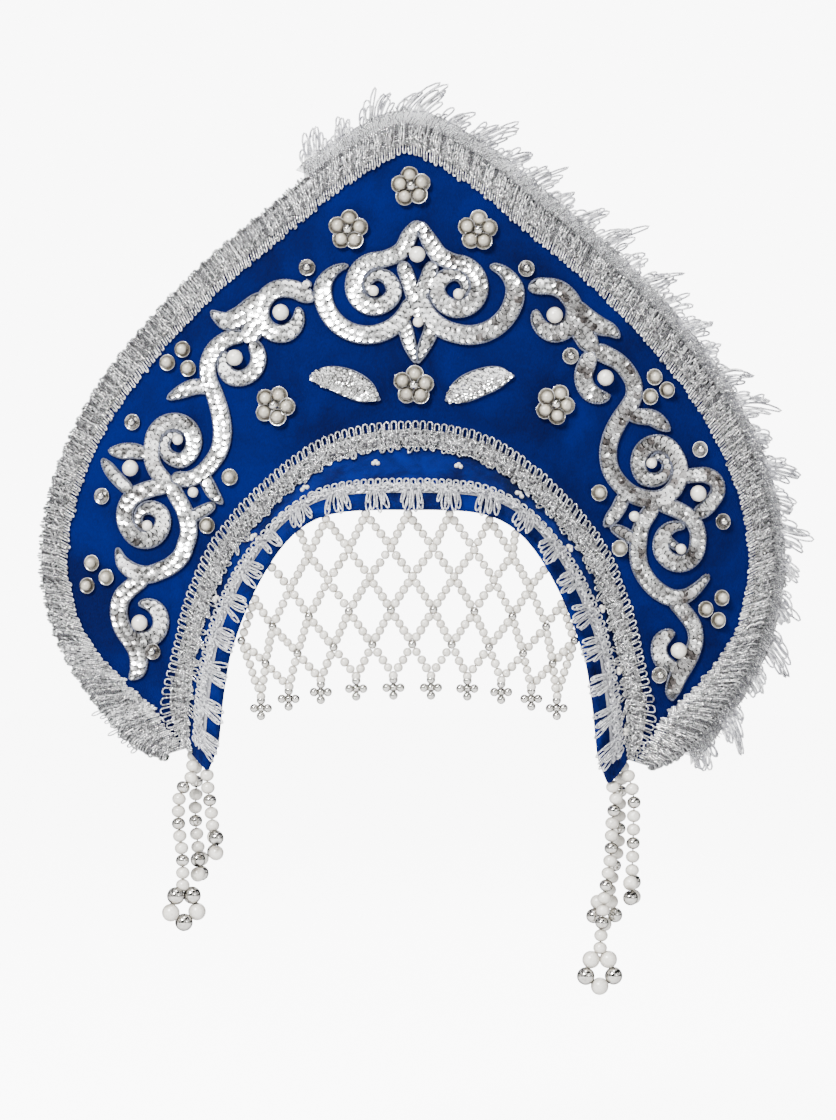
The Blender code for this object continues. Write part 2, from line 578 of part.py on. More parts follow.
def edge_braid(silver):
    """Braid along the crest's edge, turned over the edge of the card."""
    way = crest_ways()
    _, far = braid_shares(way)
    inner, edge = field(way, 1 - far), field(way, np.ones(len(way)))
    normal = edge_normals(way, 0)
    inside, outside = edge + normal * WRAP_GAP, edge + normal * (WRAP_GAP + BRAID_THICKNESS)
    low, high, back = GAP, GAP + BRAID_THICKNESS, -CREST_THICKNESS
    ring = np.stack([bent(inner, low), bent(inner, high), bent(outside, high), bent(outside, back),
                     bent(inside, back), bent(inside, low)], axis=1)
    add_object("crest_edge_braid", mesh_of("crest_edge_braid", *loft(ring)), silver)


def edge_fringe(silver):
    """Loop fringe beyond the braid: a mesh backing with a lock for each clump of loops."""
    way = np.linspace(FRINGE_START_WAY, FRINGE_END_WAY, 2 * FRINGE_LOCKS + 1)
    lengths = np.tile(LOCK_LENGTHS, FRINGE_LOCKS)[:FRINGE_LOCKS]
    reach = np.full(len(way), FRINGE_MESH)
    reach[1::2] += lengths * FRINGE_LOOP
    edge, normal = field(way, np.ones(len(way))), edge_normals(way, 0)
    near = edge + normal * (WRAP_GAP + BRAID_THICKNESS + GAP)
    tips = near + normal * reach[:, None]
    high, low = -GAP, -GAP - FRINGE_THICKNESS
    ring = np.stack([bent(near, low), bent(near, high), bent(tips, high), bent(tips, low)], axis=1)
    add_object("edge_fringe", mesh_of("edge_fringe", *loft(ring)), silver)


def band_lace(silver):
    """Lace on the band's sloping front, with a fan of loops at every other step towards the opening."""
    way = crest_ways()
    way[[0, -1]] = LACE_END_WAY, 1 - LACE_END_WAY
    front, corner, _ = band_lines(way)
    small = 0.002
    ahead, behind = band_lines(way + small)[0], band_lines(way - small)[0]
    slope = corner - front
    length = np.linalg.norm(slope, axis=1)[:, None]
    up_slope = slope / length
    normal = np.cross(up_slope, ahead - behind)
    normal /= np.linalg.norm(normal, axis=1)[:, None]
    normal *= np.where(normal[:, 1:2] > 0, -1.0, 1.0)
    high = np.minimum(LACE_WIDTH, LACE_COVER * length)
    low = np.where(np.arange(len(way))[:, None] % 2 == 1, 0.0, np.minimum(LACE_FAN_DEPTH, high / 2))
    base = front + normal * (BAND_WALL + LACE_LIFT)
    lift = normal * LACE_THICKNESS
    ring = np.stack([base + up_slope * low, base + up_slope * low + lift, base + up_slope * high + lift,
                     base + up_slope * high], axis=1)
    add_object("band_lace", mesh_of("band_lace", *loft(ring)), silver)


# Scrolls, leaves and stones


def volute_points(name):
    """Flat points and width shares of a volute, whose radius eases in over a fifth of its turn and out over
    its last third."""
    way, out, radius, start, turn, first, last, width_first, width_middle, width_last = VOLUTES[name]
    count = math.ceil(abs(turn) / VOLUTE_STEP) + 1
    share = np.linspace(0, 1, count)
    ease_in, ease_out = np.clip(1 - share / 0.22, 0, 1), np.clip((share - 0.66) / 0.34, 0, 1)
    distance = radius * SCROLL_SIZE * (1 + (first - 1) * ease_in**1.3 + (last - 1) * ease_out**0.8)
    angle = np.radians(start + turn * share)
    points = field(way, out) + np.stack([np.cos(angle), np.sin(angle)], axis=1) * distance[:, None]
    width = width_middle + (width_first - width_middle) * ease_in + (width_last - width_middle) * ease_out**1.6
    return points, width


def stroke_line(stroke, full_width, step):
    """Flat points along a stroke, no further apart than about the step, and the ribbon's half width at each."""
    points, widths = [], []
    for item in stroke:
        if isinstance(item, str):
            volute, width = volute_points(item)
            points.append(volute)
            widths.append(width)
        else:
            points.append(field(item[0], item[1]))
            widths.append(np.array([item[2]]))
    points, widths = np.concatenate(points), np.concatenate(widths)
    along = np.concatenate([[0], np.cumsum(np.linalg.norm(np.diff(points, axis=0), axis=1))])
    places = [along[i] + np.diff(along)[i] * np.arange(cuts) / cuts
              for i, cuts in enumerate(np.maximum(1, np.round(np.diff(along) / step)).astype(int))]
    line = spline(np.append(np.concatenate(places), along[-1]), along, np.column_stack([points, widths]))
    return line[:, :2], line[:, 2] * full_width / 2


def ribbon(stroke, full_width, foot, top, step=RIBBON_STEP):
    """Closed flat ribbon along a stroke between two heights, its top a little narrower than its foot."""
    line, half = stroke_line(stroke, full_width, step)
    along = np.gradient(line, axis=0)
    along /= np.linalg.norm(along, axis=1)[:, None]
    side = np.stack([-along[:, 1], along[:, 0]], axis=1)
    narrow = np.maximum(half - RIBBON_BEVEL, half * 0.5)

    def row(width, lift):
        flat = line + side * width[:, None]
        return np.stack([flat[:, 0], np.full(len(flat), -lift), flat[:, 1]], axis=1)

    ring = np.stack([row(half, foot), row(narrow, top), row(-narrow, top), row(-half, foot)], axis=1)
    return loft(ring)


def clearance_tool():
    """Flat cylinders round every stone, which keep the scrolls clear of them."""
    pieces = []
    depth = 2 * BIG_PEARL
    for places, size in ((BIG_PEARLS, BIG_PEARL), (BEAD_SPANGLES, SPANGLE), (PEARL_SPANGLES, SPANGLE),
                         (LOOSE_SMALL_PEARLS, SMALL_PEARL)):
        radius = (size / 2 + 1.5 * GAP) / math.cos(math.pi / PETAL_SIDES)
        mesh = turned_mesh("clearance", ((0, 1), (1, 1), (1, 0), (0, 0)), radius, depth, PETAL_SIDES)
        for way, out in places:
            across, up = stone_place(way, out, size)[0]
            pieces.append(mesh_piece(mesh, (across, -depth / 2, up)))
    tool = bpy.data.objects.new("stone_clearance", joined("stone_clearance", pieces))
    CUTTERS.objects.link(tool)
    tool.hide_render = True
    tool.display_type = "WIRE"
    return tool


def scroll(name, sequins, jewel, clearance):
    """Sequin scroll: its ribbons and small pearls fused into one body, cut clear of the stones, then bent."""
    ribbons = [ribbon(stroke, RIBBON_WIDTH, GAP + RIBBON_LAYER * (number % 3),
                      GAP + RIBBON_HEIGHT + RIBBON_LAYER * (number % 4))
               for number, stroke in enumerate(SCROLLS[name])]
    for way, out in SMALL_PEARLS[name]:
        across, up = field(way, out)[0]
        ribbons.append(mesh_piece(jewel, (across, GAP + 4 * RIBBON_LAYER, up)))
    first = bpy.data.objects.new(name, joined(name, ribbons[:1]))
    PARTS.objects.link(first)
    rest = bpy.data.objects.new(name + "_rest", joined(name + "_rest", ribbons[1:]))
    CUTTERS.objects.link(rest)
    boolean(first, rest, "UNION")
    boolean(first, clearance, "DIFFERENCE")
    bpy.context.view_layer.update()
    mesh = evaluated_mesh(first, name)
    bpy.data.objects.remove(rest)
    bend_mesh(mesh)
    add_object(name, mesh, sequins)


def leaf(name, sequins):
    """Leaf of fine sequins, bent with the crest."""
    mesh = mesh_of(name, *ribbon(LEAVES[name], LEAF_WIDTH, GAP, GAP + LEAF_HEIGHT))
    bend_mesh(mesh)
    add_object(name, mesh, sequins)


def flower_mesh():
    """Five cupped sequins with pearls round a bead, fused."""
    petal = turned_mesh("petal", PETAL_PROFILE, PETAL / 2, FLOWER_HEIGHT, PETAL_SIDES)
    bead = turned_mesh("bead", BEAD_PROFILE, FLOWER_BEAD / 2, FLOWER_BEAD_HEIGHT, PETAL_SIDES)
    petals = []
    for number in range(5):
        angle = math.radians(72 * number)
        petals.append(mesh_piece(petal, (PETAL_RING * math.cos(angle), 0.0, PETAL_RING * math.sin(angle))))
    flat = bpy.data.objects.new("flower", joined("flower", [mesh_piece(bead)]))
    ring = bpy.data.objects.new("flower_petals", joined("flower_petals", petals))
    PARTS.objects.link(flat)
    CUTTERS.objects.link(ring)
    boolean(flat, ring, "UNION")
    bpy.context.view_layer.update()
    mesh = evaluated_mesh(flat, "flower")
    bpy.data.objects.remove(ring)
    work = bmesh.new()
    work.from_mesh(mesh)
    bmesh.ops.rotate(work, verts=work.verts, matrix=Matrix.Rotation(math.radians(-90), 3, "X"))
    bmesh.ops.dissolve_limit(work, angle_limit=FLAT_ANGLE, verts=work.verts, edges=work.edges)
    work.to_mesh(mesh)
    work.free()
    mesh.shade_smooth()
    mesh.set_sharp_from_angle(angle=SMOOTH_ANGLE)
    return mesh


def stones(pearl_color, silver):
    """Flowers, pearls and spangles on the field, each a piece of its own."""
    flower = flower_mesh()
    for number, (way, out, turn) in enumerate(FLOWERS, 1):
        seat_stone(f"flower_{number}", flower, pearl_color, way, out, 2 * PETAL_RING + PETAL, turn)
    big = turned_mesh("big_pearl", PEARL_PROFILE, BIG_PEARL / 2, BIG_PEARL * PEARL_STAND)
    for number, (way, out) in enumerate(BIG_PEARLS, 1):
        seat_stone(f"pearl_big_{number}", big, pearl_color, way, out, BIG_PEARL)
    small = turned_mesh("small_pearl", BEAD_PROFILE, SMALL_PEARL / 2, SMALL_PEARL * PEARL_STAND)
    for number, (way, out) in enumerate(LOOSE_SMALL_PEARLS, 1):
        seat_stone(f"pearl_small_{number}", small, pearl_color, way, out, SMALL_PEARL)
    spangle = turned_mesh("spangle", SPANGLE_PROFILE, SPANGLE / 2, SPANGLE_HEIGHT)
    for number, (way, out) in enumerate(BEAD_SPANGLES + PEARL_SPANGLES, 1):
        seat_stone(f"spangle_{number}", spangle, silver, way, out, SPANGLE)


# Bead net and strands


def net_points():
    """Knots of the net, keyed by row and column, with the column counted from the middle in half steps."""
    points = {}
    for number, way in enumerate(NET_SEWN_WAYS):
        for side in {1, -1}:
            at = 0.5 + side * (way - 0.5)
            sewn = outlines(at)[2] - edge_normals(at, 2) * NET_INSET
            points["sewn", side * number] = sewn[0]
    for row, (depth, knots, gather) in enumerate(NET_ROWS):
        for column in np.arange(knots) - (knots - 1) / 2:
            side = math.sin(column * NET_COLUMN_ANGLE) / math.sin(4.5 * NET_COLUMN_ANGLE) * gather
            across = NET_HALF_WIDTH * OPENING_HALF_WIDTH * side + NET_SWAY * (1 - side**2)
            points[row, float(column)] = np.array((across, -depth * LEG_DROP - NET_SAG * abs(side) ** 3))
    return points


def net_faces():
    """Gaps of the net as rings of knots: diamonds between the rows and the gaps along the band."""
    faces = []
    for left in range(-2, 2):
        faces.append((("sewn", left), ("sewn", left + 1), (0, left + 0.5)))
    for side in (1, -1):
        faces.append((("sewn", 2 * side), ("sewn", 3 * side), (0, 2.5 * side)))
        faces.append((("sewn", 3 * side), ("sewn", 4 * side), (1, 3.0 * side), (0, 2.5 * side)))
        faces.append((("sewn", 4 * side), ("sewn", 5 * side), (2, 3.5 * side), (1, 3.0 * side)))
        faces.append((("sewn", 5 * side), (2, 4.5 * side), (3, 4.0 * side), (2, 3.5 * side)))
        faces.append(((2, 4.5 * side), (4, 4.5 * side), (3, 4.0 * side)))
    for column in range(-2, 3):
        faces.append((("sewn", column), (0, column + 0.5), (1, float(column)), (0, column - 0.5)))
    for row, reach in ((0, 2.5), (1, 3.0), (2, 3.5)):
        for column in np.arange(-reach, reach + 1):
            column = float(column)
            faces.append(((row, column), (row + 1, column + 0.5), (row + 2, column), (row + 1, column - 0.5)))
    return faces


def bead_net(pearl_color):
    """Bead net under the band, cut through in diamonds, with a cross of beads at each lower knot."""
    knots = net_points()
    order = list(knots)
    flat = np.array([knots[key] for key in order])
    depth = front_depth(flat[:, 0]) + NET_BEAD / 2
    points = np.stack([flat[:, 0], depth, flat[:, 1]], axis=1)
    faces = [tuple(order.index(key) for key in face) for face in net_faces()]
    net = add_object("bead_net", mesh_of("bead_net", points, faces), pearl_color)
    strands = net.modifiers.new("strands", "WIREFRAME")
    strands.thickness = NET_BEAD
    strands.offset = 0.0
    strands.use_boundary = True
    strands.use_replace = True
    strands.use_even_offset = False
    strands.use_relative_offset = False
    crosses = []
    for key, point in zip(order, points):
        if key[0] == len(NET_ROWS) - 1:
            centre = point - (0.0, 0.0, CROSS_HALF_HEIGHT * 0.8)
            half = np.array((CROSS_HALF_WIDTH, NET_BEAD * 0.6, CROSS_HALF_HEIGHT))
            tips = centre + np.array(((1, 0, 0), (-1, 0, 0), (0, 1, 0), (0, -1, 0), (0, 0, 1), (0, 0, -1))) * half
            crosses.append((tips, [(a, b, c) for a in (0, 1) for b in (2, 3) for c in (4, 5)]))
    tool = bpy.data.objects.new("net_crosses", joined("net_crosses", crosses))
    CUTTERS.objects.link(tool)
    tool.hide_render = True
    tool.display_type = "WIRE"
    boolean(net, tool, "UNION")


def strand(name, pearl_color):
    """Bead strand as a tube of its beads' width, ending in a ring of larger drop beads."""
    route, centre, turn, radius = STRANDS[name]
    curve = bpy.data.curves.new(name, "CURVE")
    curve.dimensions = "3D"
    curve.bevel_depth = STRAND_BEAD / 2
    curve.bevel_resolution = 2
    curve.use_fill_caps = True
    line = curve.splines.new("POLY")
    line.points.add(len(route) - 1)
    for point, place in zip(line.points, route):
        point.co = (*place, 1.0)
    tube = bpy.data.objects.new(name, curve)
    PARTS.objects.link(tube)
    mesh = evaluated_mesh(tube, name)
    work = bmesh.new()
    work.from_mesh(mesh)
    bmesh.ops.remove_doubles(work, verts=work.verts, dist=0.00001)
    bmesh.ops.recalc_face_normals(work, faces=work.faces)
    work.to_mesh(mesh)
    work.free()
    made = add_object(name, mesh, pearl_color)
    bpy.ops.mesh.primitive_torus_add(major_segments=8, minor_segments=5, major_radius=radius,
                                     minor_radius=DROP_BEAD / 2, location=centre,
                                     rotation=(math.radians(90), 0.0, math.radians(turn)))
    ring = bpy.context.object
    ring.name = name + "_ring"
    for owner in ring.users_collection:
        owner.objects.unlink(ring)
    CUTTERS.objects.link(ring)
    ring.hide_render = True
    ring.display_type = "WIRE"
    boolean(made, ring, "UNION")


def main():
    for old in list(bpy.data.objects):
        bpy.data.objects.remove(old)
    scene = bpy.context.scene
    scene.collection.children.link(PARTS)
    scene.collection.children.link(CUTTERS)
    velour = material("velour", (0.004, 0.045, 0.30), 0.85)
    velvet = material("velvet", (0.003, 0.020, 0.28), 0.70)
    silver_braid = material("silver_braid", (0.62, 0.62, 0.64), 0.45, 0.6)
    silver_lace = material("silver_lace", (0.80, 0.80, 0.82), 0.45, 0.4)
    sequins = material("sequins", (0.80, 0.80, 0.80), 0.20, 1.0)
    pearl_color = material("pearl", (0.86, 0.83, 0.76), 0.25)
    spangle_silver = material("spangle_silver", (0.80, 0.81, 0.83), 0.18, 1.0)
    crest_board(velour)
    head_band(velvet)
    arch_braid(silver_braid)
    edge_braid(silver_braid)
    edge_fringe(silver_braid)
    band_lace(silver_lace)
    stones(pearl_color, spangle_silver)
    jewel = turned_mesh("jewel", JEWEL_PROFILE, JEWEL / 2, SMALL_PEARL)
    clearance = clearance_tool()
    for name in SCROLLS:
        scroll(name, sequins, jewel, clearance)
    for name in LEAVES:
        leaf(name, sequins)
    bead_net(pearl_color)
    for name in STRANDS:
        strand(name, pearl_color)


main()
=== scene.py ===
"""Looks of a kokoshnik headdress.

Metres, +Z up, the front faces -Y and +X is the viewer's right. The crest and what is sewn on it are drawn flat,
as the card is cut, and then bent round an upright axis behind it. A place on the field is (way, out): way runs
from the left leg's tip at 0 over the top at 0.5 to the right leg's tip at 1, and out from the arch at 0 to the
crest's edge at 1.
"""

import json
import math

import bpy
import mathutils
import numpy as np
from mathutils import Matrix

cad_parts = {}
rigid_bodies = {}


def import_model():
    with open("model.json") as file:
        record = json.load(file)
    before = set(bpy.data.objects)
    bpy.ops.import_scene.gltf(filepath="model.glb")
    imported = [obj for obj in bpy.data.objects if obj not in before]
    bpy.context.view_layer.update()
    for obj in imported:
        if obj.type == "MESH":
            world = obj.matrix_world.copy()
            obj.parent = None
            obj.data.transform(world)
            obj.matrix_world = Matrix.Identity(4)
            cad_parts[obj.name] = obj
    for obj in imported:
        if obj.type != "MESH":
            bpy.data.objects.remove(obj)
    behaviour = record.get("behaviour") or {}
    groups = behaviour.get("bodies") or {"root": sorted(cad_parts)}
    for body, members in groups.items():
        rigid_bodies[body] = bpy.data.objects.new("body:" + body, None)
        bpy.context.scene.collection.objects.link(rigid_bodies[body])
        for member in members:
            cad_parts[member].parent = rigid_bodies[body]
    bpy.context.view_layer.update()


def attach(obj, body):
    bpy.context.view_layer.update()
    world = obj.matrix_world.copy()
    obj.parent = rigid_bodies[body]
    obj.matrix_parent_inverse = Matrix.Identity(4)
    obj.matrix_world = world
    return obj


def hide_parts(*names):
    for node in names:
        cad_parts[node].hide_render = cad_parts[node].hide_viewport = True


bl_info = {
    "name": "Kokoshnik headdress",
    "version": (1, 0, 0),
    "blender": (4, 5, 0),
    "location": "View3D > Sidebar > Headdress",
    "description": "Velour crest, velvet band, silver braid and lace, sequin scrolls, pearls, bead net and strands",
    "category": "Object",
}

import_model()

# Gap between what is sewn on and what it is sewn to, and the seed of the random draws
GAP = 0.0003
RANDOM_SEED = 11

# Card, arch, opening and band, as in the part's source
CREST_HALF_WIDTH = 0.175
CREST_HEIGHT = 0.176
CREST_THICKNESS = 0.004
CREST_BEND_RADIUS = 0.420
CREST_SETBACK = 0.030
LEG_DROP = 0.119
RIGHT_LEG_EXTRA = 0.006
ARCH_HALF_WIDTH = 0.103
ARCH_HEIGHT = 0.0295
OPENING_HALF_WIDTH = 0.092
BAND_BEND_RADIUS = 0.140
BAND_WALL = 0.003
BAND_TAIL = 0.015

# Braid, lace and fringe
EDGE_BRAID_WIDTH = 0.0125
EDGE_BRAID_TIP_WIDTH = 0.020
ARCH_BRAID_WIDTH = 0.0115
ARCH_BRAID_TIP_WIDTH = 0.0140
TIP_START = 0.78
TIP_RAMP = 0.14
LACE_COVER = 0.72
FRINGE_MESH = 0.0060
FRINGE_LOOP = 0.0130
FRINGE_LOCKS = 28
FRINGE_START_WAY = 0.435
FRINGE_END_WAY = 0.968
PUFF_PITCH = 0.0073
WRAP_GAP = 0.0006

# Scrolls and stones
RIBBON_WIDTH = 0.0078
VOLUTE_STEP = 12
CURL_LIMIT = 0.5
CURL_START = 0.40
CURL_TURN = 165
SCROLL_SIZE = math.sqrt(CREST_HALF_WIDTH * CREST_HEIGHT)
PETAL_RING = 0.0056
LEAF_WIDTH = 0.0120

# Bead net
NET_HALF_WIDTH = 0.83
NET_INSET = 0.0018
NET_SAG = 0.0145
NET_SWAY = 0.0020
NET_COLUMN_ANGLE = 0.189

# Right half of the outlines, mirrored for the left. Sides are shares of the half width of the crest, the
# arch and the opening. Ups are shares of the crest's or the arch's height above the seat and of the leg's
# drop below it.
OUTLINES = (
    # way, crest side, crest up, arch side, arch up, opening side, opening up
    (0.500, 0.000, 1.000, 0.000, 1.000, 0.000, 0.000),
    (0.538, 0.160, 0.932, 0.136, 0.966, 0.141, 0.000),
    (0.590, 0.344, 0.793, 0.330, 0.780, 0.337, -0.010),
    (0.650, 0.547, 0.628, 0.525, 0.322, 0.500, -0.055),
    (0.708, 0.714, 0.463, 0.692, -0.059, 0.630, -0.147),
    (0.759, 0.852, 0.295, 0.812, -0.193, 0.734, -0.269),
    (0.800, 0.944, 0.128, 0.876, -0.311, 0.804, -0.378),
    (0.840, 0.994, -0.059, 0.925, -0.429, 0.859, -0.487),
    (0.865, 1.003, -0.218, 0.950, -0.517, 0.891, -0.563),
    (0.895, 0.972, -0.429, 0.972, -0.609, 0.913, -0.655),
    (0.925, 0.904, -0.622, 0.986, -0.681, 0.929, -0.739),
    (0.952, 0.797, -0.815, 0.996, -0.748, 0.940, -0.824),
    (0.978, 0.719, -0.916, 1.000, -0.832, 0.957, -0.916),
    (1.000, 0.648, -0.950, 1.000, -0.924, 1.000, -1.000),
)

# Volutes and crescents of the scrolls: centre on the field, radius as a share of the scrolls' size, start
# angle and turn in degrees (anticlockwise from the viewer's right), the radius at the start and at the end
# as shares, and the width at the start, in the middle and at the end as shares of the ribbon's width.
VOLUTES = {
    # name: way, out, radius, start, turn, first, last, width first, middle, last
    "center_spiral_left": (0.473, 0.530, 0.0541, 80, 400, 1.28, 0.46, 0.92, 1.00, 0.80),
    "center_spiral_right": (0.540, 0.549, 0.0558, 92, -410, 1.15, 0.46, 0.92, 1.06, 0.80),
    "center_crescent_left": (0.467, 0.527, 0.1174, 128, 222, 0.70, 1.00, 0.22, 1.02, 0.84),
    "center_crescent_right": (0.549, 0.564, 0.1231, 46, -232, 0.66, 1.07, 0.35, 1.10, 0.84),
    "left_link": (0.395, 0.632, 0.0564, 98, 278, 1.10, 0.78, 1.00, 1.00, 0.32),
    "left_curl_upper": (0.351, 0.598, 0.0536, 52, -258, 0.98, 0.68, 0.76, 0.90, 0.26),
    "left_spiral": (0.270, 0.548, 0.0536, 182, -385, 1.15, 0.46, 0.96, 0.96, 0.80),
    "left_ring": (0.208, 0.471, 0.0507, 128, 385, 1.38, 0.46, 1.02, 1.02, 0.76),
    "left_curl_lower": (0.131, 0.337, 0.0479, -132, 240, 1.08, 1.00, 0.85, 0.95, 0.30),
    "right_link": (0.619, 0.684, 0.0570, 104, -290, 1.22, 0.80, 0.92, 1.00, 0.45),
    "right_ring_upper": (0.675, 0.616, 0.0541, 112, 178, 1.26, 0.95, 0.98, 1.04, 0.38),
    "right_spiral": (0.751, 0.551, 0.0541, -75, 455, 1.66, 0.46, 1.00, 0.96, 0.78),
    "right_ring": (0.810, 0.471, 0.0530, 82, -372, 1.55, 0.86, 0.94, 0.98, 0.35),
    "right_curl": (0.889, 0.373, 0.0513, -88, -172, 0.82, 0.85, 0.86, 0.94, 0.48),
}

# Strokes of the scrolls. Each is a smooth line through a few places on the field, (way, out, width), where
# the width is a share of the ribbon's, and a volute's name stands for that volute's own points.
SCROLLS = {
    "scroll_center": (
        ((0.508, 0.708, 0.53), (0.501, 0.660, 0.88), (0.496, 0.618, 0.94), "center_spiral_left"),
        ((0.508, 0.706, 0.53), (0.517, 0.651, 0.94), (0.523, 0.626, 1.0), "center_spiral_right"),
        ((0.495, 0.579, 0.82), (0.502, 0.500, 0.82), (0.508, 0.402, 0.60)),
        ((0.520, 0.597, 0.82), (0.515, 0.530, 0.82), (0.508, 0.452, 0.82)),
        ("center_crescent_left",),
        ("center_crescent_right",),
        ((0.494, 0.413, 0.76), (0.498, 0.361, 0.82), (0.502, 0.313, 0.70), (0.508, 0.262, 0.25)),
        ((0.521, 0.413, 0.76), (0.520, 0.367, 0.82), (0.515, 0.316, 0.70), (0.509, 0.262, 0.25)),
    ),
    "scroll_left": (
        ((0.4215, 0.594, 0.55), (0.417, 0.628, 0.92), (0.410, 0.672, 1.0), "left_link"),
        ((0.388, 0.727, 1.10), (0.375, 0.728, 1.24), (0.363, 0.734, 1.18), (0.353, 0.758, 1.04),
         (0.348, 0.800, 0.65), (0.345, 0.840, 0.24)),
        ((0.380, 0.688, 1.06), (0.373, 0.661, 1.24), (0.366, 0.646, 1.24), (0.359, 0.645, 1.06)),
        ((0.418, 0.650, 0.76), (0.4195, 0.682, 0.65)),
        ((0.363, 0.651, 0.70), (0.348, 0.696, 0.88), (0.336, 0.702, 0.94), (0.327, 0.680, 0.94),
         (0.322, 0.636, 0.94), (0.320, 0.550, 0.98), (0.316, 0.458, 1.06), (0.310, 0.398, 1.06),
         (0.301, 0.360, 1.0), (0.287, 0.346, 0.94), (0.274, 0.352, 0.90), (0.262, 0.379, 0.88),
         (0.250, 0.455, 0.76)),
        ("left_curl_upper",),
        ((0.320, 0.572, 0.82), (0.314, 0.618, 0.82), (0.306, 0.652, 0.88), (0.294, 0.684, 0.70),
         (0.284, 0.708, 0.25)),
        ((0.245, 0.441, 0.94), (0.243, 0.510, 0.94), (0.245, 0.574, 0.94), "left_spiral"),
        ((0.246, 0.620, 0.72), (0.239, 0.692, 0.88), (0.233, 0.739, 0.88), (0.226, 0.803, 0.30)),
        ((0.217, 0.600, 0.76), (0.217, 0.645, 0.76), (0.217, 0.710, 0.76), (0.218, 0.768, 0.66),
         (0.219, 0.815, 0.25)),
        ((0.247, 0.436, 0.88), (0.238, 0.475, 0.92), (0.229, 0.522, 0.96), "left_ring"),
        ((0.246, 0.446, 0.94), (0.243, 0.385, 0.94), (0.241, 0.331, 0.94), (0.236, 0.273, 1.0),
         (0.228, 0.237, 1.0), (0.218, 0.226, 1.0), (0.206, 0.224, 1.0), (0.192, 0.254, 1.0),
         (0.180, 0.303, 1.0), (0.170, 0.365, 1.0), (0.166, 0.438, 0.94), (0.167, 0.512, 0.80),
         (0.175, 0.566, 0.25)),
        ((0.275, 0.359, 0.70), (0.274, 0.303, 0.76), (0.273, 0.250, 0.74), (0.275, 0.180, 0.25)),
        ((0.237, 0.275, 0.70), (0.254, 0.233, 0.70), (0.268, 0.206, 0.50)),
        ((0.169, 0.360, 0.90), (0.153, 0.438, 1.0), (0.141, 0.487, 1.06), (0.128, 0.501, 1.06),
         (0.118, 0.481, 1.06), (0.111, 0.430, 1.12), (0.104, 0.397, 1.12), (0.093, 0.396, 1.08),
         (0.082, 0.435, 0.95), (0.073, 0.535, 0.30)),
        ("left_curl_lower",),
    ),
    "scroll_right": (
        ((0.5965, 0.697, 0.62), (0.602, 0.728, 0.90), "right_link"),
        ((0.630, 0.769, 0.88), (0.645, 0.763, 1.06), (0.655, 0.772, 1.04), (0.665, 0.796, 0.75),
         (0.673, 0.800, 0.30)),
        ((0.634, 0.690, 1.10), (0.644, 0.698, 1.24), (0.652, 0.684, 1.24), (0.660, 0.675, 1.10)),
        ((0.657, 0.674, 1.04), (0.669, 0.697, 1.02), (0.681, 0.717, 0.96), (0.691, 0.716, 0.96),
         (0.700, 0.698, 0.96), (0.705, 0.654, 0.98), (0.705, 0.594, 1.0), (0.704, 0.530, 1.0),
         (0.705, 0.455, 1.0), (0.710, 0.391, 1.0), (0.720, 0.350, 1.0), (0.734, 0.341, 1.0),
         (0.748, 0.358, 1.0), "right_spiral"),
        ("right_ring_upper",),
        ((0.706, 0.580, 0.80), (0.718, 0.624, 0.88), (0.725, 0.659, 0.92), (0.735, 0.681, 0.80),
         (0.743, 0.693, 0.30)),
        ((0.772, 0.610, 0.76), (0.779, 0.690, 0.82), (0.785, 0.744, 0.88), (0.792, 0.775, 0.88),
         (0.798, 0.767, 0.88), (0.801, 0.722, 0.88), (0.802, 0.664, 0.88), (0.800, 0.600, 0.84)),
        ((0.769, 0.445, 0.94), (0.778, 0.481, 0.94), "right_ring"),
        ((0.790, 0.420, 0.50), (0.802, 0.425, 0.48), (0.814, 0.463, 0.42)),
        ((0.744, 0.334, 0.82), (0.748, 0.255, 0.82), (0.748, 0.200, 0.70), (0.747, 0.160, 0.30)),
        ((0.781, 0.261, 0.76), (0.765, 0.218, 0.70), (0.753, 0.186, 0.45)),
        ((0.772, 0.441, 0.90), (0.773, 0.375, 0.94), (0.776, 0.321, 0.94), (0.783, 0.279, 1.0),
         (0.792, 0.248, 1.0), (0.802, 0.235, 1.0), (0.819, 0.248, 1.0), (0.836, 0.296, 1.0),
         (0.847, 0.365, 0.94), (0.851, 0.440, 0.82), (0.850, 0.508, 0.65), (0.846, 0.592, 0.36)),
        ((0.845, 0.350, 0.88), (0.863, 0.422, 0.94), (0.876, 0.477, 0.94), (0.886, 0.500, 0.90),
         (0.896, 0.490, 0.95), (0.905, 0.458, 1.04), (0.913, 0.424, 1.08), (0.923, 0.413, 1.00),
         (0.931, 0.424, 0.76), (0.936, 0.455, 0.36)),
        ("right_curl",),
    ),
}

# Leaves of fine sequins: smooth lines through places on the field, with the width as a share of the leaf's.
LEAVES = {
    "leaf_left": ((0.405, 0.343, 0.20), (0.420, 0.307, 0.74), (0.438, 0.254, 1.0), (0.455, 0.200, 0.86),
                  (0.470, 0.156, 0.20)),
    "leaf_right": ((0.540, 0.162, 0.20), (0.554, 0.208, 0.86), (0.572, 0.270, 1.0), (0.589, 0.326, 0.76),
                   (0.602, 0.362, 0.20)),
}

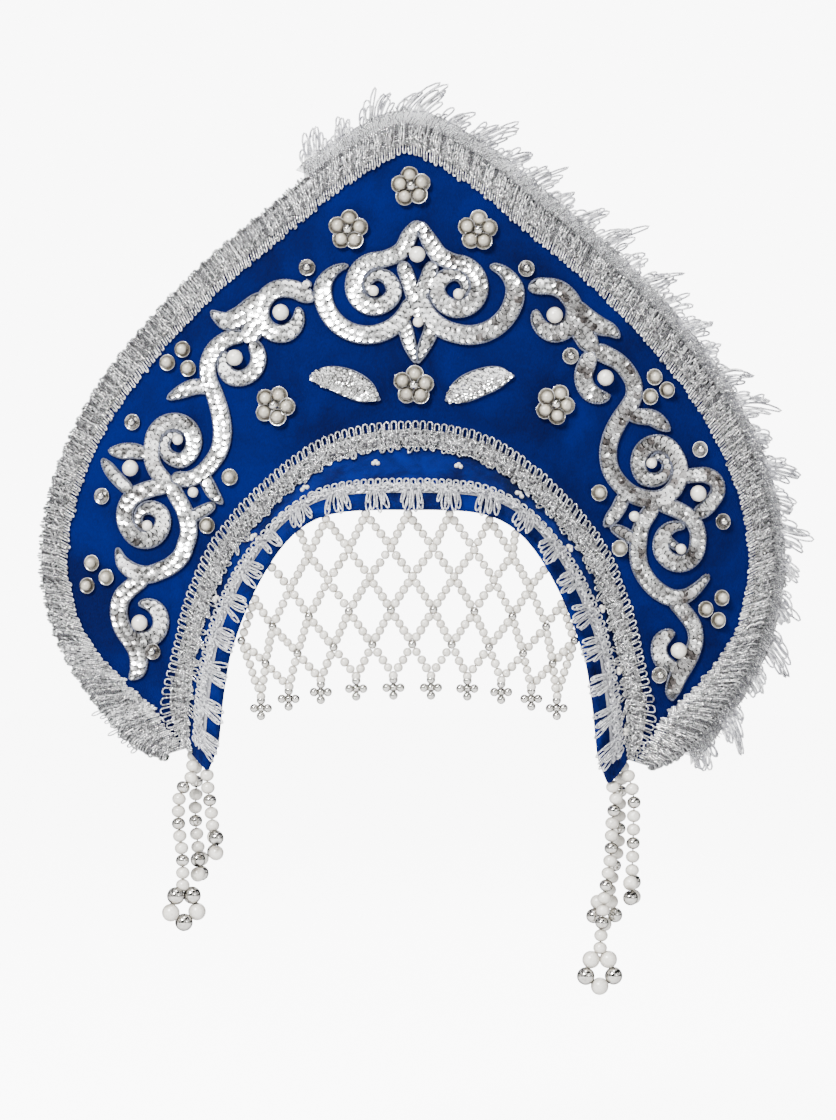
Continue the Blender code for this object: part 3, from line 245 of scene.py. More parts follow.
# Stones by their place on the field, (way, out). A flower also has the turn of its first petal in degrees.
FLOWERS = ((0.502, 0.813, 95), (0.457, 0.752, 85), (0.550, 0.767, 87), (0.506, 0.190, 86), (0.366, 0.330, 68),
           (0.645, 0.371, 65))
BIG_PEARLS = ((0.507, 0.602), (0.395, 0.631), (0.349, 0.606), (0.230, 0.652), (0.129, 0.354), (0.620, 0.673),
              (0.676, 0.616), (0.789, 0.654), (0.890, 0.373))
SMALL_PEARLS = {
    "scroll_center": ((0.472, 0.515), (0.541, 0.527), (0.509, 0.391)),
    "scroll_left": ((0.274, 0.537), (0.207, 0.443)),
    "scroll_right": ((0.746, 0.521), (0.814, 0.463)),
}
LOOSE_SMALL_PEARLS = ((0.258, 0.323), (0.764, 0.310))
BEAD_SPANGLES = ((0.422, 0.720), (0.591, 0.761), (0.252, 0.774), (0.200, 0.736), (0.107, 0.281), (0.643, 0.583),
                 (0.769, 0.773), (0.818, 0.738), (0.909, 0.262))
PEARL_SPANGLES = ((0.313, 0.809), (0.298, 0.821), (0.310, 0.728), (0.296, 0.236), (0.248, 0.177),
                  (0.154, 0.694), (0.150, 0.594), (0.137, 0.709), (0.711, 0.797), (0.724, 0.804),
                  (0.716, 0.720), (0.723, 0.236), (0.775, 0.173), (0.866, 0.660), (0.868, 0.554),
                  (0.880, 0.646))

# Lock lengths of the fringe, repeated along it, as shares of the fringe's loop
LOCK_LENGTHS = (0.95, 0.55, 0.80, 1.20, 0.62, 1.05, 0.70)

# Rows of the bead net below the seat: depth as a share of the leg's drop, number of knots and how far the row
# gathers inward. The ways are the places on the right half where the net's top thread is sewn to the band.
NET_ROWS = (
    # depth, knots, gather
    (0.147, 6, 1.00),
    (0.255, 7, 1.00),
    (0.382, 10, 1.00),
    (0.513, 9, 0.94),
    (0.632, 10, 0.885),
)
NET_SEWN_WAYS = (0.500, 0.555, 0.614, 0.668, 0.737, 0.785)

# Routes of the bead strands, kept as they hang: across, back and up in metres from the leg's tip down, then
# the centre of the ring of drop beads that ends the strand, its turn about the upright axis and its radius.
STRANDS = {
    "pendant_left_long": (
        ((-0.0995, 0.0385, -0.1153), (-0.1000, 0.0385, -0.1230), (-0.1045, 0.0370, -0.1290),
         (-0.1060, 0.0365, -0.1430), (-0.1042, 0.0365, -0.1600), (-0.1040, 0.0365, -0.1760)),
        (-0.1035, 0.0365, -0.1835), 25, 0.0062),
    "pendant_left_middle": (
        ((-0.1000, 0.0480, -0.1106), (-0.0985, 0.0475, -0.1250), (-0.0990, 0.0480, -0.1400),
         (-0.0975, 0.0485, -0.1595)),
        (-0.0970, 0.0485, -0.1655), 80, 0.0044),
    "pendant_left_short": (
        ((-0.0930, 0.0360, -0.1194), (-0.0925, 0.0362, -0.1275), (-0.0910, 0.0362, -0.1380),
         (-0.0900, 0.0360, -0.1485)),
        (-0.0890, 0.0360, -0.1545), 100, 0.0044),
    "pendant_right_long": (
        ((0.0935, 0.0363, -0.1250), (0.0960, 0.0370, -0.1320), (0.0945, 0.0370, -0.1420),
         (0.0935, 0.0365, -0.1600), (0.0905, 0.0365, -0.1800), (0.0885, 0.0365, -0.2050)),
        (0.0885, 0.0365, -0.2130), 5, 0.0062),
    "pendant_right_middle": (
        ((0.1000, 0.0480, -0.1162), (0.0985, 0.0475, -0.1330), (0.0975, 0.0475, -0.1560),
         (0.0930, 0.0475, -0.1790)),
        (0.0912, 0.0475, -0.1865), 20, 0.0052),
    "pendant_right_short": (
        ((0.1010, 0.0390, -0.1199), (0.1042, 0.0385, -0.1320), (0.1042, 0.0380, -0.1450),
         (0.1035, 0.0380, -0.1695)),
        (0.1035, 0.0380, -0.1755), 75, 0.0044),
}


def unit(vectors):
    """Vectors scaled to length one."""
    return vectors / np.maximum(np.linalg.norm(vectors, axis=-1, keepdims=True), 1e-12)


def lengths(points):
    """Length along a line of points at each of them."""
    return np.concatenate([[0.0], np.cumsum(np.linalg.norm(np.diff(points, axis=0), axis=1))])


def followed(at, run, points):
    """Places at the lengths at along a line of points, whose own lengths are run."""
    return np.stack([np.interp(at, run, part) for part in points.T], axis=1)


def spline(at, ways, values):
    """Smooth curve through the rows of values at the given ways, with slopes from the neighbouring rows."""
    at = np.atleast_1d(np.asarray(at, float))
    span = np.diff(ways)
    rise = np.diff(values, axis=0) / span[:, None]
    slope = np.concatenate([rise[:1], (rise[:-1] * span[1:, None] + rise[1:] * span[:-1, None])
                            / (span[1:] + span[:-1])[:, None], rise[-1:]])
    i = np.clip(np.searchsorted(ways, at, side="right") - 1, 0, len(ways) - 2)
    s = ((at - ways[i]) / span[i])[:, None]
    h = span[i][:, None]
    return ((2 * s**3 - 3 * s**2 + 1) * values[i] + (s**3 - 2 * s**2 + s) * h * slope[i]
            + (3 * s**2 - 2 * s**3) * values[i + 1] + (s**3 - s**2) * h * slope[i + 1])


def full_outlines():
    """Ways and the flat crest edge, flat arch edge and opening edge, in metres, for both halves."""
    rows = np.array(OUTLINES)
    sides = rows[:, 1::2] * (CREST_HALF_WIDTH, ARCH_HALF_WIDTH, OPENING_HALF_WIDTH)
    shares = rows[:, 2::2]
    heights = np.array((CREST_HEIGHT, ARCH_HEIGHT, 1.0))
    right = np.where(shares < 0, shares * (LEG_DROP + RIGHT_LEG_EXTRA), shares * heights)
    left = np.where(shares < 0, shares * LEG_DROP, shares * heights)
    ways = np.concatenate([1 - rows[:0:-1, 0], rows[:, 0]])
    across = np.concatenate([-sides[:0:-1], sides])
    up = np.concatenate([left[:0:-1], right])
    return ways, np.stack([across, up], axis=2).reshape(len(ways), 6)


WAYS, EDGES = full_outlines()


def outlines(way):
    """Crest edge, arch edge and opening edge at the ways, each an array of (across, up)."""
    values = spline(way, WAYS, EDGES)
    return values[:, 0:2], values[:, 2:4], values[:, 4:6]


def edge_normals(way, which):
    """Outward unit normals of the crest edge (0), the arch edge (1) or the opening edge (2)."""
    along = unit(outlines(np.minimum(way + 0.0005, 1.0))[which] - outlines(np.maximum(way - 0.0005, 0.0))[which])
    return np.stack([-along[:, 1], along[:, 0]], axis=1)


def field(way, out):
    """Flat place of (way, out) on the crest."""
    crest, arch, _ = outlines(way)
    return arch + (crest - arch) * np.atleast_1d(out)[:, None]


def bent(flat, height=0.0):
    """World places of flat crest points at a height off the crest's face."""
    flat = np.asarray(flat, float)
    turn = flat[:, 0] / CREST_BEND_RADIUS
    radius = CREST_BEND_RADIUS + height
    return np.stack([radius * np.sin(turn), CREST_SETBACK + CREST_BEND_RADIUS - radius * np.cos(turn),
                     flat[:, 1]], axis=1)


def front_depth(across):
    """How far back the front edge of the band lies at a distance from the middle."""
    return BAND_BEND_RADIUS - np.sqrt(BAND_BEND_RADIUS**2 - np.square(across))


def braid_shares(way, clear=0.0):
    """Shares of the field's width that the arch braid and the edge braid take at the ways, with a clear strip."""
    crest, arch, _ = outlines(way)
    across = crest - arch
    tip = np.clip((np.abs(2 * way - 1) - TIP_START) / TIP_RAMP, 0, 1)
    arch_width = ARCH_BRAID_WIDTH + (ARCH_BRAID_TIP_WIDTH - ARCH_BRAID_WIDTH) * tip
    edge_width = EDGE_BRAID_WIDTH + (EDGE_BRAID_TIP_WIDTH - EDGE_BRAID_WIDTH) * tip
    near = (arch_width + clear) / np.sum(across * edge_normals(way, 1), axis=1)
    far = (edge_width + clear) / np.sum(across * edge_normals(way, 0), axis=1)
    both = near + far + 2 * GAP / np.linalg.norm(across, axis=1)
    crowd = np.maximum(both, 1.0)
    return near / crowd, far / crowd


def volute_points(name):
    """Flat points and width shares of a volute, whose radius eases in over a fifth of its turn and out over its last
    third. One that ends tight goes on as a narrow inner curl."""
    way, out, radius, start, turn, first, last, width_first, width_middle, width_last = VOLUTES[name]
    curls = last < CURL_LIMIT
    last = CURL_START if curls else last
    share = np.linspace(0, 1, math.ceil(abs(turn) / VOLUTE_STEP) + 1)
    ease_in, ease_out = np.clip(1 - share / 0.22, 0, 1), np.clip((share - 0.66) / 0.34, 0, 1)
    distance = 1 + (first - 1) * ease_in**1.3 + (last - 1) * ease_out**0.8
    angle = start + turn * share
    width = width_middle + (width_first - width_middle) * ease_in + (width_last - width_middle) * ease_out**1.6
    if curls:
        more = np.linspace(0, 1, 11)[1:]
        width = width * (1 - 0.30 * np.clip((share - 0.45) / 0.5, 0, 1))
        width = np.concatenate([width, width[-1] + (0.36 - width[-1]) * more])
        angle = np.concatenate([angle, start + turn + math.copysign(CURL_TURN, turn) * more])
        distance = np.concatenate([distance, last - 0.12 * more])
    angle = np.radians(angle)
    spokes = np.stack([np.cos(angle), np.sin(angle)], axis=1)
    return field(way, out) + radius * SCROLL_SIZE * spokes * distance[:, None], width


def stroke_line(stroke, full_width, step):
    """Flat points along a stroke, no further apart than about the step, and the ribbon's half width at each."""
    points, widths = [], []
    for item in stroke:
        if isinstance(item, str):
            volute, width = volute_points(item)
            points.append(volute)
            widths.append(width)
        else:
            points.append(field(item[0], item[1]))
            widths.append(np.array([item[2]]))
    points, widths = np.concatenate(points), np.concatenate(widths)
    along = lengths(points)
    places = [along[i] + np.diff(along)[i] * np.arange(cuts) / cuts
              for i, cuts in enumerate(np.maximum(1, np.round(np.diff(along) / step)).astype(int))]
    line = spline(np.append(np.concatenate(places), along[-1]), along, np.column_stack([points, widths]))
    return line[:, :2], line[:, 2] * full_width / 2


def net_points():
    """Knots of the net, keyed by row and column, with the column counted from the middle in half steps."""
    points = {}
    for number, way in enumerate(NET_SEWN_WAYS):
        for side in {1, -1}:
            at = 0.5 + side * (way - 0.5)
            sewn = outlines(at)[2] - edge_normals(at, 2) * NET_INSET
            points["sewn", side * number] = sewn[0]
    for row, (depth, knots, gather) in enumerate(NET_ROWS):
        for column in np.arange(knots) - (knots - 1) / 2:
            side = math.sin(column * NET_COLUMN_ANGLE) / math.sin(4.5 * NET_COLUMN_ANGLE) * gather
            across = NET_HALF_WIDTH * OPENING_HALF_WIDTH * side + NET_SWAY * (1 - side**2)
            points[row, float(column)] = np.array((across, -depth * LEG_DROP - NET_SAG * abs(side) ** 3))
    return points


def net_faces():
    """Gaps of the net as rings of knots: diamonds between the rows and the gaps along the band."""
    faces = []
    for left in range(-2, 2):
        faces.append((("sewn", left), ("sewn", left + 1), (0, left + 0.5)))
    for side in (1, -1):
        faces.append((("sewn", 2 * side), ("sewn", 3 * side), (0, 2.5 * side)))
        faces.append((("sewn", 3 * side), ("sewn", 4 * side), (1, 3.0 * side), (0, 2.5 * side)))
        faces.append((("sewn", 4 * side), ("sewn", 5 * side), (2, 3.5 * side), (1, 3.0 * side)))
        faces.append((("sewn", 5 * side), (2, 4.5 * side), (3, 4.0 * side), (2, 3.5 * side)))
        faces.append(((2, 4.5 * side), (4, 4.5 * side), (3, 4.0 * side)))
    for column in range(-2, 3):
        faces.append((("sewn", column), (0, column + 0.5), (1, float(column)), (0, column - 0.5)))
    for row, reach in ((0, 2.5), (1, 3.0), (2, 3.5)):
        for column in np.arange(-reach, reach + 1):
            column = float(column)
            faces.append(((row, column), (row + 1, column + 0.5), (row + 2, column), (row + 1, column - 0.5)))
    return faces


def length(label, text, value):
    """Length property with its name, description and default."""
    return bpy.props.FloatProperty(name=label, description=text, default=value, unit="LENGTH")


def colour(label, text, value):
    """Colour property with its name, description and default."""
    return bpy.props.FloatVectorProperty(name=label, description=text, default=value, subtype="COLOR", size=3,
                                         min=0.0, max=1.0)


class HeaddressSizes(bpy.types.PropertyGroup):
    """Sizes of the threads, sequins and beads."""

    thread: length("Lurex thread", "Radius of the braid's looped thread", 0.00030)
    rib_pitch: length("Braid pitch", "Distance between the edge braid's loops", 0.0026)
    lace_pitch: length("Lace pitch", "Distance between the lace's small loops", 0.0031)
    fan_pitch: length("Fan pitch", "Distance between the lace's fans of loops", 0.0162)
    cord: length("Outline cord", "Radius of the twisted cord round the scrolls", 0.00058)
    sequin: length("Sequin", "Radius of the scrolls' sequins", 0.0021)
    big_pearl: length("Big pearl", "Radius of the big pearls", 0.0038)
    small_pearl: length("Small pearl", "Radius of the small pearls", 0.0025)
    cup: length("Spangle", "Radius of the cupped spangles", 0.0039)
    net_bead: length("Net bead", "Radius of the net's beads", 0.0019)
    strand_bead: length("Strand bead", "Radius of the strands' beads", 0.0032)
    drop_bead: length("Drop bead", "Radius of the beads in the end loops", 0.0040)


class HeaddressColours(bpy.types.PropertyGroup):
    """Colours of the cloth, thread, sequins and beads."""

    # The velour's and the velvet's two colours are their lit and their shaded pile, blended in noise patches: painted
    # sheen and shade.
    velour: colour("Velour", "Crest's short-pile velour", (0.0, 0.0034, 0.066))
    velour_deep: colour("Velour, brushed", "Velour where its pile lies the other way", (0.0, 0.0008, 0.020))
    velvet: colour("Velvet", "Band's velvet where it catches the light", (0.0, 0.0062, 0.105))
    velvet_deep: colour("Velvet, deep", "Band's velvet in its folds", (0.0, 0.0001, 0.006))
    lurex: colour("Lurex", "Braid's silver thread", (0.80, 0.80, 0.80))
    lurex_dark: colour("Lurex, turned", "Lurex where the thread turns from the light", (0.06, 0.06, 0.065))
    lace: colour("Lace", "Bright lace thread", (0.80, 0.80, 0.82))
    lace_dark: colour("Lace, turned", "Lace thread between its glints", (0.24, 0.24, 0.27))
    fringe: colour("Fringe", "Fringe's loops and mesh", (0.74, 0.74, 0.75))
    cord: colour("Cord", "Scrolls' twisted cord", (0.11, 0.12, 0.165))
    # The two sequin colours are the bright and the dark reflection that each sequin's tone blends between: painted
    # reflection.
    sequin: colour("Sequin", "Bright sequins", (0.95, 0.95, 0.94))
    sequin_warm: colour("Sequin, shaded", "Sequins that mirror the dark", (0.13, 0.115, 0.11))
    pearl: colour("Pearl", "White pearls and net beads", (0.80, 0.77, 0.70))
    # Painted shade: the rim colours are what the pearls turn to towards their rims and towards their poles, where
    # beads touch on the thread.
    pearl_rim: colour("Pearl's rim", "White pearls towards their rims and holes", (0.24, 0.21, 0.17))
    ivory: colour("Ivory pearl", "Flowers' and spangles' pearls", (0.50, 0.46, 0.37))
    ivory_rim: colour("Ivory pearl's rim", "Ivory pearls towards their rims", (0.10, 0.082, 0.055))
    silver: colour("Silver bead", "Silver beads", (0.68, 0.66, 0.62))


# Surfaces that the trims follow

TABLE_WAYS = np.linspace(0.0, 1.0, 3001)
RUNS = [lengths(edge) for edge in outlines(TABLE_WAYS)]


def way_at(run, which):
    """Way at a length along the crest edge (0), the arch edge (1) or the opening edge (2)."""
    return np.interp(run, RUNS[which], TABLE_WAYS)


def run_at(way, which):
    """Length along one of the three edges at a way."""
    return np.interp(way, TABLE_WAYS, RUNS[which])


def face_axes(across):
    """World directions of right, up and off the face, at flat distances across the bent crest."""
    turn = np.asarray(across, float) / CREST_BEND_RADIUS
    zero = np.zeros_like(turn)
    return (np.stack([np.cos(turn), np.sin(turn), zero], axis=-1), np.stack([zero, zero, zero + 1.0], axis=-1),
            np.stack([np.sin(turn), -np.cos(turn), zero], axis=-1))


def crest_place(run, across, beyond, height):
    """Places in the edge braid: across is 0 at its inner side and 1 at the crest's edge, beyond is a distance
    outward past the edge and height is off the face. Formula: inner point + (edge - inner) * across + normal *
    beyond, then bent. Also the directions off the face."""
    run, across, beyond, height = np.broadcast_arrays(run, across, beyond, height)
    way = way_at(run.ravel(), 0)
    edge = outlines(way)[0]
    inner = field(way, 1 - braid_shares(way)[1])
    flat = inner + (edge - inner) * across.reshape(-1, 1) + edge_normals(way, 0) * beyond.reshape(-1, 1)
    return bent(flat, height.ravel()).reshape(run.shape + (3,)), face_axes(flat[:, 0])[2].reshape(run.shape + (3,))


def band_frame(way):
    """Front line, corner and rear line of the band's inner and outer skins, with its slope and the slope's outward
    normal."""
    _, arch, opening = outlines(way)
    normal = edge_normals(way, 1)
    inner = arch - normal * (GAP + BAND_WALL)
    front = np.stack([opening[:, 0], front_depth(opening[:, 0]), opening[:, 1]], axis=1)
    corner, rear = bent(inner, -GAP), bent(inner, -CREST_THICKNESS - BAND_TAIL)
    right, up, _ = face_axes(inner[:, 0])
    tail = right * normal[:, :1] + up * normal[:, 1:]
    slope = unit(corner - front)
    ahead = outlines(np.minimum(way + 0.001, 1.0))[2]
    behind = outlines(np.maximum(way - 0.001, 0.0))[2]
    along = unit(np.stack([ahead[:, 0] - behind[:, 0], front_depth(ahead[:, 0]) - front_depth(behind[:, 0]),
                           ahead[:, 1] - behind[:, 1]], axis=1))
    off = unit(np.cross(slope, along))
    off *= np.where(off[:, 1:2] > 0, -1.0, 1.0)
    lift = BAND_WALL * (off + tail) / (1 + np.sum(off * tail, axis=1, keepdims=True))
    return {"front": front, "corner": corner, "rear": rear, "outer_front": front + off * BAND_WALL,
            "outer_corner": corner + lift, "outer_rear": rear + tail * BAND_WALL, "slope": slope, "off": off}


def band_place(run, up, height):
    """Places on the band's slope: up is the distance from the front edge, height is off the velvet. Formula: the
    outer front line + slope * up + normal * height. Also the directions off the slope."""
    run, up, height = np.broadcast_arrays(run, up, height)
    band = band_frame(way_at(run.ravel(), 2))
    points = band["outer_front"] + band["slope"] * up.reshape(-1, 1) + band["off"] * height.reshape(-1, 1)
    return points.reshape(run.shape + (3,)), band["off"].reshape(run.shape + (3,))


def slope_width(way):
    """Width of the band's slope at the ways."""
    band = band_frame(way)
    return np.linalg.norm(band["outer_corner"] - band["outer_front"], axis=1)


def arch_place(run, across, below, height):
    """Places in the arch braid: across is 0 at the arch and 1 at its outer side, and below is a distance down the
    band's slope past the arch. Formula: arch + (outer - arch) * across bent at the height, which blends over the
    first 2 mm below into the outer corner of the band - slope * below + normal * height."""
    run, across, below, height = np.broadcast_arrays(run, across, below, height)
    way, below = way_at(run.ravel(), 1), below.reshape(-1, 1)
    arch = outlines(way)[1]
    flat = arch + (field(way, braid_shares(way)[0]) - arch) * across.reshape(-1, 1)
    band = band_frame(way)
    on_band = band["outer_corner"] - band["slope"] * below + band["off"] * height.reshape(-1, 1)
    share = np.clip(below / 0.002, 0, 1)
    share = share**2 * (3 - 2 * share)
    off = unit(face_axes(flat[:, 0])[2] * (1 - share) + band["off"] * share)
    points = bent(flat, height.ravel()) * (1 - share) + on_band * share
    return points.reshape(run.shape + (3,)), off.reshape(run.shape + (3,))


# Mesh building


def shell(points, quads, tris=None, uv=None, tone=0.0, material=0):
    """One set of points and faces with its corner coordinates, brightness and material number."""
    points, quads = np.reshape(points, (-1, 3)), np.reshape(quads, (-1, 4))
    return {"points": points, "quads": quads, "tris": np.zeros((0, 3), int) if tris is None else tris,
            "uv": np.zeros((quads.size, 2)) if uv is None else uv.reshape(-1, 2),
            "tone": np.broadcast_to(tone, (len(points),)), "material": material}


def grid_quads(count, ring):
    """Faces between the rows of a grid whose columns close."""
    i = np.arange(count - 1)[:, None]
    j = np.arange(ring)[None, :]
    k = (j + 1) % ring
    return np.stack([i * ring + j, i * ring + k, (i + 1) * ring + k, (i + 1) * ring + j], axis=-1).reshape(-1, 4)


def end_caps(count, ring):
    """Fans of quads that close both ends of a grid of rings with an even number of points."""
    fan = np.array([(0, k, k + 1, k + 2) for k in range(1, ring - 1, 2)])
    return np.concatenate([fan[:, ::-1], fan + (count - 1) * ring])


def closed_strip(sections, tone=0.6):
    """Closed skin through rings of equal counts (stations, ring, 3). Formula: the rings joined in order, with flat
    fan ends."""
    count, ring = sections.shape[:2]
    return shell(sections, np.concatenate([grid_quads(count, ring), end_caps(count, ring)]), tone=tone)


def tubes(paths, radius, ref, sides=6, tone=0.0, material=0, closed=False):
    """Round tubes along paths of equal counts. Formula: path + radius * (cos a * side + sin a * up), where side =
    ref x tangent. The ends are flat faces; uv is (millimetres along, turns round)."""
    count, stations = paths.shape[:2]
    if closed:
        tangent = unit(np.roll(paths, -1, axis=1) - np.roll(paths, 1, axis=1))
    else:
        tangent = unit(np.gradient(paths, axis=1))
    side = unit(np.cross(np.broadcast_to(ref, paths.shape), tangent))
    up = np.cross(tangent, side)
    angle = ((np.arange(sides) + 0.5) * 2 * math.pi / sides)[:, None]
    radius = np.broadcast_to(radius, (count, stations))[..., None, None]
    points = paths[:, :, None] + radius * (np.cos(angle) * side[:, :, None] + np.sin(angle) * up[:, :, None])
    step = np.linalg.norm(np.diff(paths, axis=1), axis=2) * 1000
    step = np.concatenate([step, step[:, :1]], axis=1) if closed else step
    along = np.concatenate([np.zeros((count, 1)), np.cumsum(step, axis=1)], axis=1)
    turn = np.broadcast_to(np.arange(sides) / sides, (count, step.shape[1], sides))
    corners = [np.stack([np.broadcast_to(reach, turn.shape), turn + more], axis=-1)
               for reach, more in ((along[:, :-1, None], 0), (along[:, :-1, None], 1 / sides),
                                   (along[:, 1:, None], 1 / sides), (along[:, 1:, None], 0))]
    uv = np.stack(corners, axis=3).reshape(count, -1, 4, 2)
    one = grid_quads(step.shape[1] + 1, sides) % (stations * sides)
    if not closed:
        caps = end_caps(stations, sides)
        one = np.concatenate([one, caps])
        uv = np.concatenate([uv, np.zeros((count, len(caps), 4, 2))], axis=1)
    quads = one[None] + (np.arange(count) * stations * sides)[:, None, None]
    return shell(points, quads, uv=uv, tone=np.repeat(np.broadcast_to(tone, (count,)), stations * sides),
                 material=material)


def threads(placed, radius, sides, tone, material=0):
    """Tubes along places on a surface, which come with the directions off it."""
    return tubes(placed[0], radius, placed[1], sides, tone, material)


def spun(profile, sides):
    """Rings of points about Z from a profile of (radius, height). Formula: (radius cos a, radius sin a, height)."""
    angle = np.arange(sides) * 2 * math.pi / sides
    return np.stack([profile[:, :1] * np.cos(angle), profile[:, :1] * np.sin(angle),
                     np.broadcast_to(profile[:, 1:], (len(profile), sides))], axis=-1).reshape(-1, 3)


def turned(profile, sides):
    """Template turned about Z from a profile of (radius, height), from its lower pole up to its upper pole."""
    profile = np.array(profile, float)
    points = np.concatenate([spun(profile[1:-1], sides), [(0, 0, profile[0, 1]), (0, 0, profile[-1, 1])]])
    j = np.arange(sides)
    k, last = (j + 1) % sides, (len(profile) - 3) * sides
    tris = [np.stack([np.full(sides, len(points) - 2), k, j], axis=1),
            np.stack([np.full(sides, len(points) - 1), last + j, last + k], axis=1)]
    return points, grid_quads(len(profile) - 2, sides), np.concatenate(tris)


def ball(sides, rings):
    """Sphere of radius one with its poles along Z."""
    angle = np.linspace(-math.pi / 2, math.pi / 2, rings + 1)
    return turned(np.stack([np.cos(angle), np.sin(angle)], axis=1), sides)


def sequin_template(hole, cup, wall, sides):
    """Cupped sequin of radius one with a hole. Formula: height = cup * radius^2, with a wall above and below."""
    radii = np.array([hole, 0.58, 1.0])
    under = np.stack([radii, cup * radii**2 - wall], axis=1)
    over = np.stack([radii[::-1], cup * radii[::-1] ** 2 + wall], axis=1)
    points = spun(np.concatenate([under, over]), sides)
    return points, grid_quads(7, sides) % len(points), np.zeros((0, 3), int)


def stamped(template, origins, axes, scale=1.0, tone=0.0, material=0, shade=1.0):
    """Copies of a template at origins. Formula: origin + scale * (x, y, z) in each copy's own axes, the rows of
    its 3 x 3 array. shade is a share of the tone for each point of the template."""
    points, quads, tris = template
    origins = np.reshape(origins, (-1, 3))
    count = len(origins)
    axes = np.broadcast_to(axes, (count, 3, 3))
    scale = np.broadcast_to(scale, (count,))[:, None, None]
    placed = origins[:, None] + scale * np.einsum("pi,kij->kpj", points, axes)
    shift = (np.arange(count) * len(points))[:, None, None]
    tones = np.broadcast_to(tone, (count,))[:, None] * np.broadcast_to(shade, (len(points),))
    return shell(placed, quads[None] + shift, (tris[None] + shift).reshape(-1, 3), tone=tones.ravel(),
                 material=material)


def pole_shade(template, start=0.62):
    """Share of a bead's brightness by height: painted shade, darker towards its poles, where it touches its neighbours
    on the thread.
    """
    return 1 - 0.95 * np.clip((np.abs(template[0][:, 2]) - start) / (1 - start), 0, 1)


def threaded(tangent):
    """Axes of beads on a thread whose directions are given: Z along it, the others square to it."""
    across = unit(np.cross(tangent, (0.0, 1.0, 0.0)) + (0.0, 0.0, 1e-6))
    return np.stack([across, np.cross(tangent, across), tangent], axis=1)


def square_axes(guide, normal):
    """Axes with Z along the normal and Y as near as it can be to the guide."""
    across = unit(np.cross(guide, normal))
    return np.stack([across, np.cross(normal, across), normal], axis=1)


def piece(name, shells, finishes, replaced=(), crease=None):
    """Object of several shells with their materials. It rides on the body and stands for CAD nodes."""
    starts = np.cumsum([0] + [len(part["points"]) for part in shells])[:-1]
    points = np.concatenate([part["points"] for part in shells])
    quads = np.concatenate([part["quads"] + start for part, start in zip(shells, starts)])
    tris = np.concatenate([part["tris"] + start for part, start in zip(shells, starts)])
    corners = np.concatenate([quads.ravel(), tris.ravel()])
    mesh = bpy.data.meshes.new(name)
    mesh.vertices.add(len(points))
    mesh.vertices.foreach_set("co", points.ravel())
    mesh.loops.add(len(corners))
    mesh.loops.foreach_set("vertex_index", corners)
    mesh.polygons.add(len(quads) + len(tris))
    mesh.polygons.foreach_set("loop_start", np.concatenate([np.arange(len(quads)) * 4,
                                                            quads.size + np.arange(len(tris)) * 3]))
    mesh.polygons.foreach_set("material_index", np.concatenate(
        [np.full(len(part[kind]), part["material"]) for kind in ("quads", "tris") for part in shells]))
    mesh.update(calc_edges=True)
    uv = np.concatenate([part["uv"] for part in shells] + [np.zeros((tris.size, 2))])
    mesh.uv_layers.new(name="run").data.foreach_set("uv", uv.ravel())
    mesh.attributes.new("tone", "FLOAT", "POINT").data.foreach_set(
        "value", np.concatenate([part["tone"] for part in shells]))
    mesh.shade_smooth()
    if crease is not None:
        mesh.set_sharp_from_angle(angle=math.radians(crease))
    for finish in finishes:
        mesh.materials.append(finish_of(finish))
    made = bpy.data.objects.new(name, mesh)
    bpy.context.scene.collection.objects.link(made)
    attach(made, "root")
    if replaced:
        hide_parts(*replaced)
    return made


# Shader groups and materials


def add(tree, kind, inputs=None, **settings):
    """Node of a kind with its settings and inputs, each a value or another node's socket."""
    made = tree.nodes.new("ShaderNode" + kind)
    for name, value in settings.items():
        setattr(made, name, value)
    for name, value in (inputs or {}).items():
        if isinstance(value, bpy.types.NodeSocket):
            tree.links.new(value, made.inputs[name])
        else:
            made.inputs[name].default_value = value
    return made


def worked(tree, operation, *values):
    """Result of a sum of one or two values."""
    return add(tree, "Math", dict(enumerate(values)), operation=operation).outputs[0]


def mapped(tree, value, low, high, to_low=0.0, to_high=1.0):
    """A value moved from one range to another and clamped."""
    return add(tree, "MapRange", {"Value": value, "From Min": low, "From Max": high, "To Min": to_low,
                                  "To Max": to_high}).outputs["Result"]


def noise(tree, place, scale, detail, **inputs):
    """Noise at a scale over the places."""
    return add(tree, "TexNoise", {"Vector": place, "Scale": scale, "Detail": detail, **inputs}).outputs["Fac"]


def blended(tree, factor, first, second):
    """Mix of two colours."""
    colours = {index: value if isinstance(value, bpy.types.NodeSocket) else (*value, 1.0)
               for index, value in ((6, first), (7, second))}
    return add(tree, "Mix", {0: factor, **colours}, data_type="RGBA").outputs[2]


def new_group(name, size_name, size, outputs):
    """Empty shader group with a vector and named sizes as inputs and float outputs. Gives it, its inputs and its
    outputs."""
    tree = bpy.data.node_groups.new(name, "ShaderNodeTree")
    tree.interface.new_socket("Vector", in_out="INPUT", socket_type="NodeSocketVector")
    for label, value in zip(size_name, size):
        tree.interface.new_socket(label, in_out="INPUT", socket_type="NodeSocketFloat").default_value = value
    for label in outputs:
        tree.interface.new_socket(label, in_out="OUTPUT", socket_type="NodeSocketFloat")
    return tree, tree.nodes.new("NodeGroupInput").outputs, tree.nodes.new("NodeGroupOutput").inputs


